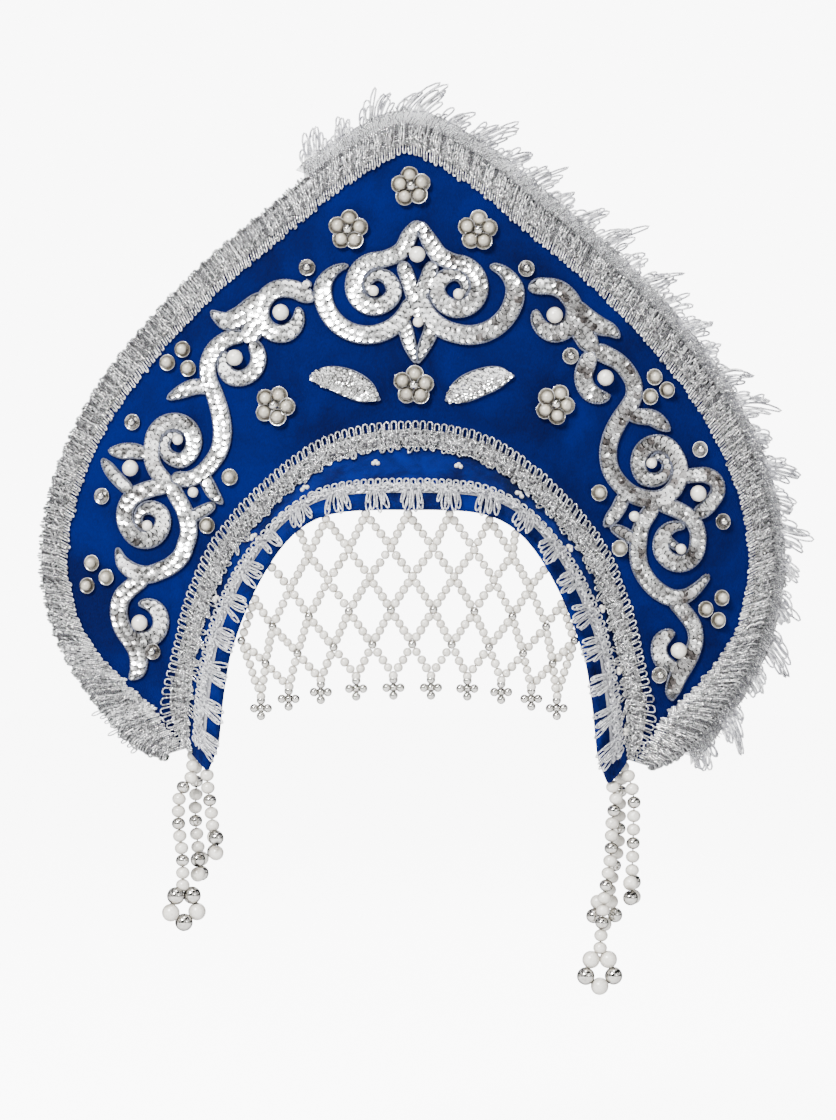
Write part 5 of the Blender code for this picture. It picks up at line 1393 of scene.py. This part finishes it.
def mirror_tone(flat, rng):
    """Brightness of sequins by place, a painted reflection: clusters mirror the same part of the room, the right side
    mirrors a darker one and so does the left's outer part. Formula: slow sines over the field and a random part for
    each sequin."""
    cluster = (np.sin(flat[:, 0] * 310 + 1.3) * np.sin(flat[:, 1] * 260 + 0.4)
               + 0.6 * np.sin((flat[:, 0] + flat[:, 1]) * 540))
    # Painted reflection: the right side, and the left's outer part, mirror darker surroundings.
    right_dark_reflection = 1 / (1 + np.exp(-(flat[:, 0] - 0.012) / 0.012))
    low = np.clip((np.abs(flat[:, 0]) - 0.10) / 0.03, 0, 1)
    base = 0.90 - 0.42 * right_dark_reflection - 0.40 * low * (1 - right_dark_reflection)
    return np.clip(base + 0.32 * cluster * (0.5 + 0.5 * right_dark_reflection + 0.3 * low) + rng.normal(0, 0.16, len(flat)), 0, 1)


def sequin_rows(line, half, tangent, size):
    """Flat places, directions and radii of a ribbon's sequins as rows of five numbers: one row of sequins where it
    is narrow, and two staggered rows where it is wide."""
    inside = half - size.cord * 1.3
    two = inside > 0.0023
    rows = []
    for side, wanted in ((0.0, ~two), (0.5, two), (-0.5, two)):
        at = np.arange(0.0014 + (SEQUIN_PITCH / 2 if side > 0 else 0), (len(line) - 1) * LINE_STEP - 0.0008,
                       SEQUIN_PITCH)
        index = np.clip(np.round(at / LINE_STEP).astype(int), 0, len(line) - 1)
        index = index[wanted[index] & (inside[index] > 0.0008)]
        spot = line[index] + lateral(tangent[index]) * (side * inside[index])[:, None]
        radius = (np.minimum(size.sequin * 1.03, inside[index] * 1.02) if side == 0.0
                  else np.minimum(size.sequin, inside[index] * 0.64))
        rows.append(np.column_stack([spot, tangent[index], radius]))
    return np.concatenate(rows)


def overlapped_axes(spot, toward, rng):
    """Axes of sequins that lie like shingles along flat directions, each tilted and rolled a little differently."""
    right, up, off = face_axes(spot[:, 0])
    along = right * toward[:, :1] + up * toward[:, 1:]
    tilt = np.radians(rng.normal(11, 3, len(spot)))[:, None]
    roll = np.radians(rng.normal(0, 5, len(spot)))[:, None]
    forward = np.cos(tilt) * along + np.sin(tilt) * off
    normal = unit(-np.sin(tilt) * along + np.cos(tilt) * off)
    return square_axes(forward, unit(normal + np.tan(roll) * unit(np.cross(forward, normal))))


def cord_parts(path, shown, size, rng):
    """Twisted cords along the stretches of a flat path that show. Formula: the radius swells by 0.24 of itself with
    a sine of the point's number, as plies do."""
    parts = []
    edges = np.flatnonzero(np.diff(np.concatenate([[False], shown, [False]]).astype(int)))
    for first, last in edges.reshape(-1, 2):
        if last - first < 4:
            continue
        index = np.arange(last - first)
        part = followed(np.linspace(0, index[-1], 2 * len(index) - 1), index, path[first:last])
        bulge = size.cord * (1 + 0.24 * np.sin(np.arange(len(part)) * math.pi * 0.8))
        parts.append(tubes(bent(part, GAP + 0.0009)[None], bulge, face_axes(part[:, 0])[2][None], 6,
                           rng.uniform(0.7, 1.1), 2))
    return parts


def places_of(stones):
    """Flat places of stones on the field."""
    return np.concatenate([field(way, out) for way, out in stones])


class HEADDRESS_OT_scrolls(bpy.types.Operator):
    """Sequin scrolls: each has a low ground, one or two rows of overlapping sequins, a twisted cord along its
    outline and small pearls."""

    bl_idname = "headdress.scrolls"
    bl_label = "Sequin scrolls"

    def execute(self, context):
        size, rng = context.scene.headdress_sizes, np.random.default_rng(RANDOM_SEED + 4)
        sequin = sequin_template(0.21, 0.10, 0.03, 12)
        big, cups = places_of(BIG_PEARLS), places_of(BEAD_SPANGLES + PEARL_SPANGLES)
        for name, strokes in SCROLLS.items():
            pearls = places_of(SMALL_PEARLS[name])
            lines = [dense_line(stroke, RIBBON_WIDTH, LINE_STEP) for stroke in strokes]
            grounds, sequins, cords = [], [], []
            placed = np.full((1, 2), np.inf)
            for number, (line, half, tangent) in enumerate(lines):
                grounds.append(ribbon_ground(line, np.maximum(half - 0.0002, half * 0.5), tangent,
                                             0.0007 + 0.00004 * (number % 3)))
                rest_line, rest_half = (np.concatenate([other[part] for index, other in enumerate(lines)
                                                        if index != number]) for part in (0, 1))
                table = sequin_rows(line, half, tangent, size)
                spot = table[:, :2]
                table = table[(distances(spot, placed)[0] > 0.0019)
                              & (distances(spot, big)[0] > size.big_pearl + 0.0004)
                              & (distances(spot, cups)[0] > size.cup + 0.0012)
                              & (distances(spot, pearls)[0] > 0.0014)]
                spot = table[:, :2]
                placed = np.concatenate([placed, spot])
                axes = overlapped_axes(spot, table[:, 2:4], rng)
                height = GAP + 0.0012 + rng.uniform(0, 0.0002, len(spot))
                sequins.append(stamped(sequin, bent(spot, height), axes, table[:, 4], mirror_tone(spot, rng), 1))
                for side in (-1, 1):
                    path = line + lateral(tangent) * (side * np.maximum(half - size.cord * 0.3, 0.0))[:, None]
                    gap, nearest = distances(path, rest_line)
                    shown = ((gap > rest_half[nearest] - 0.0006)
                             & (distances(path, big)[0] > size.big_pearl + 0.0002)
                             & (distances(path, cups)[0] > size.cup - 0.0002))
                    cords += cord_parts(path, shown, size, rng)
            seats = stamped(ball(14, 10), bent(pearls, GAP + 0.0030), np.eye(3), size.small_pearl, 1.0, 3)
            piece(name + "_sequins", grounds + sequins + cords + [seats], ["foil", "sequin", "cord", "pearl"],
                  [name], crease=68)
        return {"FINISHED"}


FLAKE_ROWS = np.linspace(-0.78, 0.78, 7)


class HEADDRESS_OT_leaves(bpy.types.Operator):
    """Leaves: a low ground, slanted rows of small sequins and a cord round the outline."""

    bl_idname = "headdress.leaves"
    bl_label = "Sequin leaves"

    def execute(self, context):
        size, rng = context.scene.headdress_sizes, np.random.default_rng(RANDOM_SEED + 5)
        flake = sequin_template(0.14, 0.16, 0.06, 8)
        for name, stroke in LEAVES.items():
            line, half, tangent = dense_line(stroke, LEAF_WIDTH, 0.0006, 0.0065, 0.7)
            row, index = (grid.ravel() for grid in
                          np.meshgrid(FLAKE_ROWS, np.arange(2, len(line) - 2, 2), indexing="ij"))
            row, index = row[half[index] > 0.0012], index[half[index] > 0.0012]
            ahead, count = tangent[index], len(row)
            spot = (line[index] + lateral(ahead) * (row * half[index])[:, None]
                    - ahead * (0.0006 * np.abs(row) / 0.78)[:, None] + rng.normal(0, 0.0002, (count, 2)))
            right, up, off = face_axes(spot[:, 0])
            turn = np.radians(35 * np.sign(row) + rng.normal(0, 18, count))[:, None]
            heading = ahead * np.cos(turn) + lateral(ahead) * np.sin(turn)
            along = right * heading[:, :1] + up * heading[:, 1:]
            tilt = np.radians(rng.normal(24, 9, count))[:, None]
            axes = square_axes(along, unit(np.cos(tilt) * off - np.sin(tilt) * along))
            # The left leaf's lower rows get larger flakes, which are real, and a brighter tone, which is a painted
            # highlight.
            edge = (row < -0.5) & (name == "leaf_left")
            tone = np.clip(rng.uniform(0.35, 1.0, count) + 0.35 * edge, 0, 1)
            height = GAP + 0.0012 + 0.0003 * (1 - row**2)
            shells = [ribbon_ground(line, half, tangent, 0.0008, 0.3),
                      stamped(flake, bent(spot, height), axes, np.where(edge, 0.0015, 0.00095), tone, 1)]
            for side in (-1, 1):
                path = line + lateral(tangent) * (side * half)[:, None]
                shells.append(tubes(bent(path, GAP + 0.0008)[None], size.cord * 0.8, face_axes(path[:, 0])[2][None], 6,
                                    0.9, 2))
            piece(name + "_sequins", shells, ["foil", "sequin", "cord"], [name], crease=68)
        return {"FINISHED"}


def stone_axes(flat, turn=0.0):
    """Axes of a stone that stands square to the bent crest: right, up and off the face, turned by an angle."""
    right, up, off = (part[0] for part in face_axes(flat[0, :1]))
    c, s = math.cos(turn), math.sin(turn)
    return np.stack([right * c + up * s, up * c - right * s, off])


CUP_PROFILE = ((0.0, 0.0), (0.70, 0.05), (0.94, 0.24), (1.0, 0.34), (0.95, 0.37), (0.86, 0.30), (0.60, 0.16),
               (0.30, 0.11), (0.0, 0.10))


class HEADDRESS_OT_stones(bpy.types.Operator):
    """Pearls, cupped spangles and pearl flowers on the field, each on its own seat."""

    bl_idname = "headdress.stones"
    bl_label = "Pearls, spangles and flowers"

    def execute(self, context):
        size, rng = context.scene.headdress_sizes, np.random.default_rng(RANDOM_SEED + 6)
        cup, stone = turned(CUP_PROFILE, 24), ball(20, 14)
        for table, radius, made, node in ((BIG_PEARLS, size.big_pearl, "white_pearl_", "pearl_big_"),
                                          (LOOSE_SMALL_PEARLS, size.small_pearl, "tiny_pearl_", "pearl_small_")):
            for number, (way, out) in enumerate(table, 1):
                flat = field(way, out)
                piece(f"{made}{number}", [stamped(stone, bent(flat, GAP + radius * 0.86), stone_axes(flat), radius,
                                                  1.0)], ["pearl"], [f"{node}{number}"])
        for number, (way, out) in enumerate(BEAD_SPANGLES + PEARL_SPANGLES, 1):
            flat = field(way, out)
            axes = stone_axes(flat, rng.uniform(0, 6.28))
            radius, bead = (0.0019, "silver") if number <= len(BEAD_SPANGLES) else (0.0024, "ivory")
            # The cup's low tone is a painted darker reflection in its sequin colour.
            shells = [stamped(cup, bent(flat, GAP), axes, size.cup, rng.uniform(0.2, 0.6)),
                      stamped(stone, bent(flat, GAP + size.cup * 0.11 + radius * 0.92), axes, radius, 0.9, 1)]
            piece(f"cup_{number}", shells, ["sequin", bead], [f"spangle_{number}"])
        for number, (way, out, turn) in enumerate(FLOWERS, 1):
            flat = field(way, out)
            angle = np.radians(turn + 72 * np.arange(5))
            spoke = np.stack([np.cos(angle), np.sin(angle)], axis=1)
            petals = flat + PETAL_RING * spoke + rng.normal(0, 0.00018, (5, 2))
            lifts = GAP + 0.0003 + 0.0004 * (np.arange(5) % 2)
            right, up, off = face_axes(petals[:, 0])
            axes = square_axes(up, unit(off - 0.16 * (right * spoke[:, :1] + up * spoke[:, 1:])))
            # The petal cups' low tone is a painted darker reflection in their sequin colour.
            shells = [stamped(cup, bent(petals, lifts), axes, 0.0042, rng.uniform(0.25, 0.6, 5)),
                      stamped(stone, bent(petals - 0.0003 * spoke, lifts + 0.0026), axes, 0.0027,
                              rng.uniform(0.6, 1.0, 5), 1),
                      stamped(stone, bent(flat, GAP + 0.0050), stone_axes(flat), 0.0022, 1.0, 2)]
            piece(f"pearl_flower_{number}", shells, ["sequin", "ivory", "silver"], [f"flower_{number}"])
        return {"FINISHED"}


NET_CROSS = ((0, 0, 0.0033), (0, 0, -0.0038), (0.0031, 0, -0.0003), (-0.0031, 0, -0.0003), (0, 0.0012, -0.0003))


class HEADDRESS_OT_net(bpy.types.Operator):
    """Bead net over the forehead: pearls on threads between the knots, silver beads at the lower knots and a
    cross of silver beads under each one of the last row."""

    bl_idname = "headdress.net"
    bl_label = "Bead net"

    def execute(self, context):
        rng, radius = np.random.default_rng(RANDOM_SEED + 7), context.scene.headdress_sizes.net_bead
        places = {key: np.array([flat[0], front_depth(flat[0]) + 0.0018, flat[1]])
                  for key, flat in net_points().items()}
        edges = {frozenset(pair) for face in net_faces() for pair in zip(face, face[1:] + face[:1])}
        pearls, ways, silvers, strings = [], [], [], []
        for edge in sorted(edges, key=lambda pair: sorted(str(key) for key in pair)):
            first, last = sorted(edge, key=str)
            if first[0] == last[0] == "sewn":
                continue
            a, b = places[first], places[last]
            gap = np.linalg.norm(b - a)
            count = max(0, int(round(gap / (2 * radius))) - 1)
            strings.append(np.stack([a, (a + b) / 2, b]))
            pearls.append(a + (b - a) * ((np.arange(count) + 1) / (count + 1))[:, None])
            ways.append(np.broadcast_to((b - a) / gap, (count, 3)))
        for (row, _), place in places.items():
            if row in (2, 3):
                silvers.append(place[None])
            else:
                pearls.append(place[None])
                ways.append(np.array([[0.0, 0.0, 1.0]]))
            if row == 4:
                centre = place - (0.0, 0.0, 0.0052)
                silvers.append(centre + np.array(NET_CROSS))
                strings.append(np.stack([place, centre, centre - (0, 0, 0.0038)]))
        pearls, bead = np.concatenate(pearls), ball(12, 10)
        count = len(pearls)
        shells = [stamped(bead, pearls + rng.normal(0, 0.00008, pearls.shape), threaded(unit(np.concatenate(ways))),
                          radius * rng.uniform(1.04, 1.14, count), rng.uniform(0.75, 1.0, count),
                          shade=pole_shade(bead)),
                  stamped(bead, np.concatenate(silvers), np.eye(3), radius * 1.04, 1.0, 1),
                  tubes(np.stack(strings), 0.00022, (0, -1, 0), 4, 0.9, 2)]
        piece("net_strings", shells, ["pearl", "silver", "sheer"], ["bead_net"])
        return {"FINISHED"}


def upright_circle(centre, across, radius, angle):
    """Points of an upright circle. Formula: centre + radius * (cos(angle) * across + sin(angle) * up)."""
    return centre + radius * (np.cos(angle)[:, None] * across + np.sin(angle)[:, None] * (0, 0, 1))


class HEADDRESS_OT_strands(bpy.types.Operator):
    """Bead strands at the legs: two pearls and a silver bead in turn, with a ring of larger beads at the end."""

    bl_idname = "headdress.strands"
    bl_label = "Bead strands"

    def execute(self, context):
        size, rng = context.scene.headdress_sizes, np.random.default_rng(RANDOM_SEED + 8)
        bead = ball(18, 16)
        shaded_poles = pole_shade(bead, 0.74)
        for name, (route, centre, turn, radius) in STRANDS.items():
            route, run = np.array(route), lengths(route)
            smooth = spline(np.linspace(0, run[-1], 60), run, route)
            total = lengths(smooth)[-1]
            count = int(total / (2 * size.strand_bead * 0.88))
            beads = followed((np.arange(count) + 0.5) * total / count, lengths(smooth), smooth)
            white = np.arange(count) % 3 != 2
            along = threaded(unit(np.gradient(beads, axis=0))) * np.array((1.0, 1.0, 0.90))[None, :, None]
            radius = radius * 1.10
            drops = max(4, int(round(2 * math.pi * radius / (2 * size.drop_bead * 0.98))))
            drop_radius = min(size.drop_bead * 1.06, radius * math.sin(math.pi / drops) * 1.02)
            across = np.array((math.cos(math.radians(turn)), math.sin(math.radians(turn)), 0.0))
            facing = np.cross(across, (0, 0, 1))
            ring = upright_circle(centre, across, radius, math.pi / 2 + 2 * math.pi * (np.arange(drops) + 0.5) / drops)
            thread = upright_circle(centre, across, radius, np.arange(24) * math.pi / 12)
            shiny = (np.arange(drops) + name.startswith("pendant_left")) % 2 == 1
            round_ring = threaded(unit(np.cross(facing, ring - centre)))
            shells = [stamped(bead, beads[white], along[white], size.strand_bead, rng.uniform(0.8, 1.0, white.sum()),
                              shade=shaded_poles),
                      stamped(bead, beads[~white], along[~white], size.strand_bead * 0.98, 1.0, 1, shaded_poles),
                      stamped(bead, ring[~shiny], round_ring[~shiny], drop_radius, 1.0, 0, shaded_poles),
                      stamped(bead, ring[shiny], round_ring[shiny], drop_radius, 1.0, 1, shaded_poles),
                      tubes(smooth[None], 0.0004, (0.3, -1, 0.1), 4, 0.9, 2),
                      tubes(thread[None], 0.0004, facing, 4, 0.9, 2, closed=True)]
            piece(name.replace("pendant", "strand"), shells, ["pearl", "silver", "sheer"], [name])
        return {"FINISHED"}


SEED_WAYS = np.array((0.459, 0.563, 0.367, 0.645, 0.283, 0.731, 0.193, 0.814, 0.887, 0.972))
SEED_PLACES = ((-0.0009, 0.0002), (0.0009, -0.0001), (0.0, 0.0013))


class HEADDRESS_OT_seeds(bpy.types.Operator):
    """Small white seed beads in threes on the band's velvet."""

    bl_idname = "headdress.seeds"
    bl_label = "Seed beads"

    def execute(self, context):
        rng = np.random.default_rng(RANDOM_SEED + 9)
        run, slope = run_at(SEED_WAYS, 2), slope_width(SEED_WAYS)
        up = np.maximum(slope * 0.70, np.minimum(LACE_WIDTH, LACE_COVER * slope) + 0.0022)
        shells = [stamped(ball(10, 8), band_place(run + shift, up + rise, 0.0011)[0], np.eye(3), 0.0011,
                          rng.uniform(0.8, 1.0, len(run))) for shift, rise in SEED_PLACES]
        piece("seed_beads", shells, ["pearl"])
        return {"FINISHED"}


# Stage

FLOOR_HEIGHT = -0.36
FLOOR_HALF_WIDTH = 6.0
FLOOR_GLOW, WORLD_GLOW = 8.0, 9.0
CAMERA_PLACE = (0.0046, -1.600, -0.023)
CAMERA_LENS = 113.9
LIGHTS = (
    # name, place, width, power
    ("key", (-0.8, -1.6, 1.2), 0.45, 125.0),
    ("fill", (1.3, -1.6, 0.3), 0.4, 8.0),
    ("top", (0.1, -0.5, 1.7), 0.5, 14.0),
    ("back", (0.5, 1.8, 1.0), 1.0, 22.0),
)


def add_floor(scene):
    """Square of pale paper, which the camera sees as evenly lit."""
    edge = FLOOR_HALF_WIDTH
    mesh = bpy.data.meshes.new("floor")
    mesh.from_pydata([(x, y, FLOOR_HEIGHT) for x, y in ((-edge, -edge), (edge, -edge), (edge, edge), (-edge, edge))],
                     [], [(0, 1, 2, 3)])
    made = bpy.data.materials.new("floor_paper")
    made.use_nodes = True
    tree = made.node_tree
    paper = tree.nodes["Principled BSDF"].inputs
    grain = noise(tree, add(tree, "TexCoord").outputs["Object"], 60.0, 4.0)
    tree.links.new(blended(tree, grain, (0.93, 0.93, 0.93), (0.97, 0.97, 0.97)), paper["Base Color"])
    paper["Roughness"].default_value = 0.9
    paper["Emission Color"].default_value = (1.0, 1.0, 1.0, 1.0)
    seen = add(tree, "LightPath").outputs["Is Camera Ray"]
    tree.links.new(worked(tree, "MULTIPLY", seen, FLOOR_GLOW), paper["Emission Strength"])
    mesh.materials.append(made)
    floor = bpy.data.objects.new("floor", mesh)
    scene.collection.objects.link(floor)


def add_world(scene):
    """White backdrop for the camera and a room of soft light and dark patches for what mirrors it."""
    world = bpy.data.worlds.new("studio")
    scene.world = world
    world.use_nodes = True
    tree = world.node_tree
    back = tree.nodes["Background"].inputs
    direction = add(tree, "TexCoord").outputs["Generated"]
    height = add(tree, "SeparateXYZ", {"Vector": direction}).outputs["Z"]
    level = worked(tree, "MULTIPLY", mapped(tree, height, -0.5, 0.7, 0.12, 0.60),
                   mapped(tree, noise(tree, direction, 2.2, 2.0), 0.49, 0.57, 0.04, 3.4))
    seen = add(tree, "LightPath").outputs["Is Camera Ray"]
    strength = add(tree, "Mix", {0: seen, 2: level, 3: WORLD_GLOW}, data_type="FLOAT")
    tree.links.new(strength.outputs[0], back["Strength"])
    back["Color"].default_value = (1.0, 1.0, 1.0, 1.0)


class HEADDRESS_OT_stage(bpy.types.Operator):
    """Pale floor below the headdress, soft studio light and the camera."""

    bl_idname = "headdress.stage"
    bl_label = "Studio stage"

    def execute(self, context):
        scene = context.scene
        add_floor(scene)
        add_world(scene)
        for name, place, width, power in LIGHTS:
            data = bpy.data.lights.new(name, "AREA")
            data.shape = "RECTANGLE"
            data.size = data.size_y = width
            data.energy = power
            lamp = bpy.data.objects.new(name, data)
            lamp.location = place
            lamp.rotation_euler = (-mathutils.Vector(place)).to_track_quat("-Z", "Y").to_euler()
            scene.collection.objects.link(lamp)
        data = bpy.data.cameras.new("camera")
        data.lens = CAMERA_LENS
        data.clip_start, data.clip_end = 0.05, 50.0
        camera = bpy.data.objects.new("camera", data)
        camera.location = CAMERA_PLACE
        camera.rotation_euler = (math.radians(90), 0.0, 0.0)
        scene.collection.objects.link(camera)
        scene.camera = camera
        return {"FINISHED"}


STEPS = ("stage", "crest", "band", "edge_braid", "fringe", "arch_braid", "lace", "scrolls", "leaves", "stones",
         "net", "strands", "seeds")


class HEADDRESS_PT_panel(bpy.types.Panel):
    """Lists the headdress's steps, sizes and colours."""

    bl_idname = "HEADDRESS_PT_panel"
    bl_label = "Headdress"
    bl_space_type = "VIEW_3D"
    bl_region_type = "UI"
    bl_category = "Headdress"

    def draw(self, context):
        for step in STEPS:
            self.layout.operator("headdress." + step)
        for values in (context.scene.headdress_sizes, context.scene.headdress_colours):
            for name in values.__annotations__:
                self.layout.prop(values, name)


CLASSES = (HeaddressSizes, HeaddressColours, HEADDRESS_OT_stage, HEADDRESS_OT_crest, HEADDRESS_OT_band,
           HEADDRESS_OT_edge_braid, HEADDRESS_OT_fringe, HEADDRESS_OT_arch_braid, HEADDRESS_OT_lace,
           HEADDRESS_OT_scrolls, HEADDRESS_OT_leaves, HEADDRESS_OT_stones, HEADDRESS_OT_net,
           HEADDRESS_OT_strands, HEADDRESS_OT_seeds, HEADDRESS_PT_panel)


def register():
    for made in CLASSES:
        bpy.utils.register_class(made)
    bpy.types.Scene.headdress_sizes = bpy.props.PointerProperty(type=HeaddressSizes)
    bpy.types.Scene.headdress_colours = bpy.props.PointerProperty(type=HeaddressColours)


def unregister():
    del bpy.types.Scene.headdress_colours
    del bpy.types.Scene.headdress_sizes
    for made in reversed(CLASSES):
        bpy.utils.unregister_class(made)


def main():
    register()
    for other in [o for o in bpy.data.objects if o.type in {"LIGHT", "CAMERA"} or o.name == "Cube"]:
        bpy.data.objects.remove(other)
    for step in STEPS:
        getattr(bpy.ops.headdress, step)()


if __name__ == "__main__":
    main()
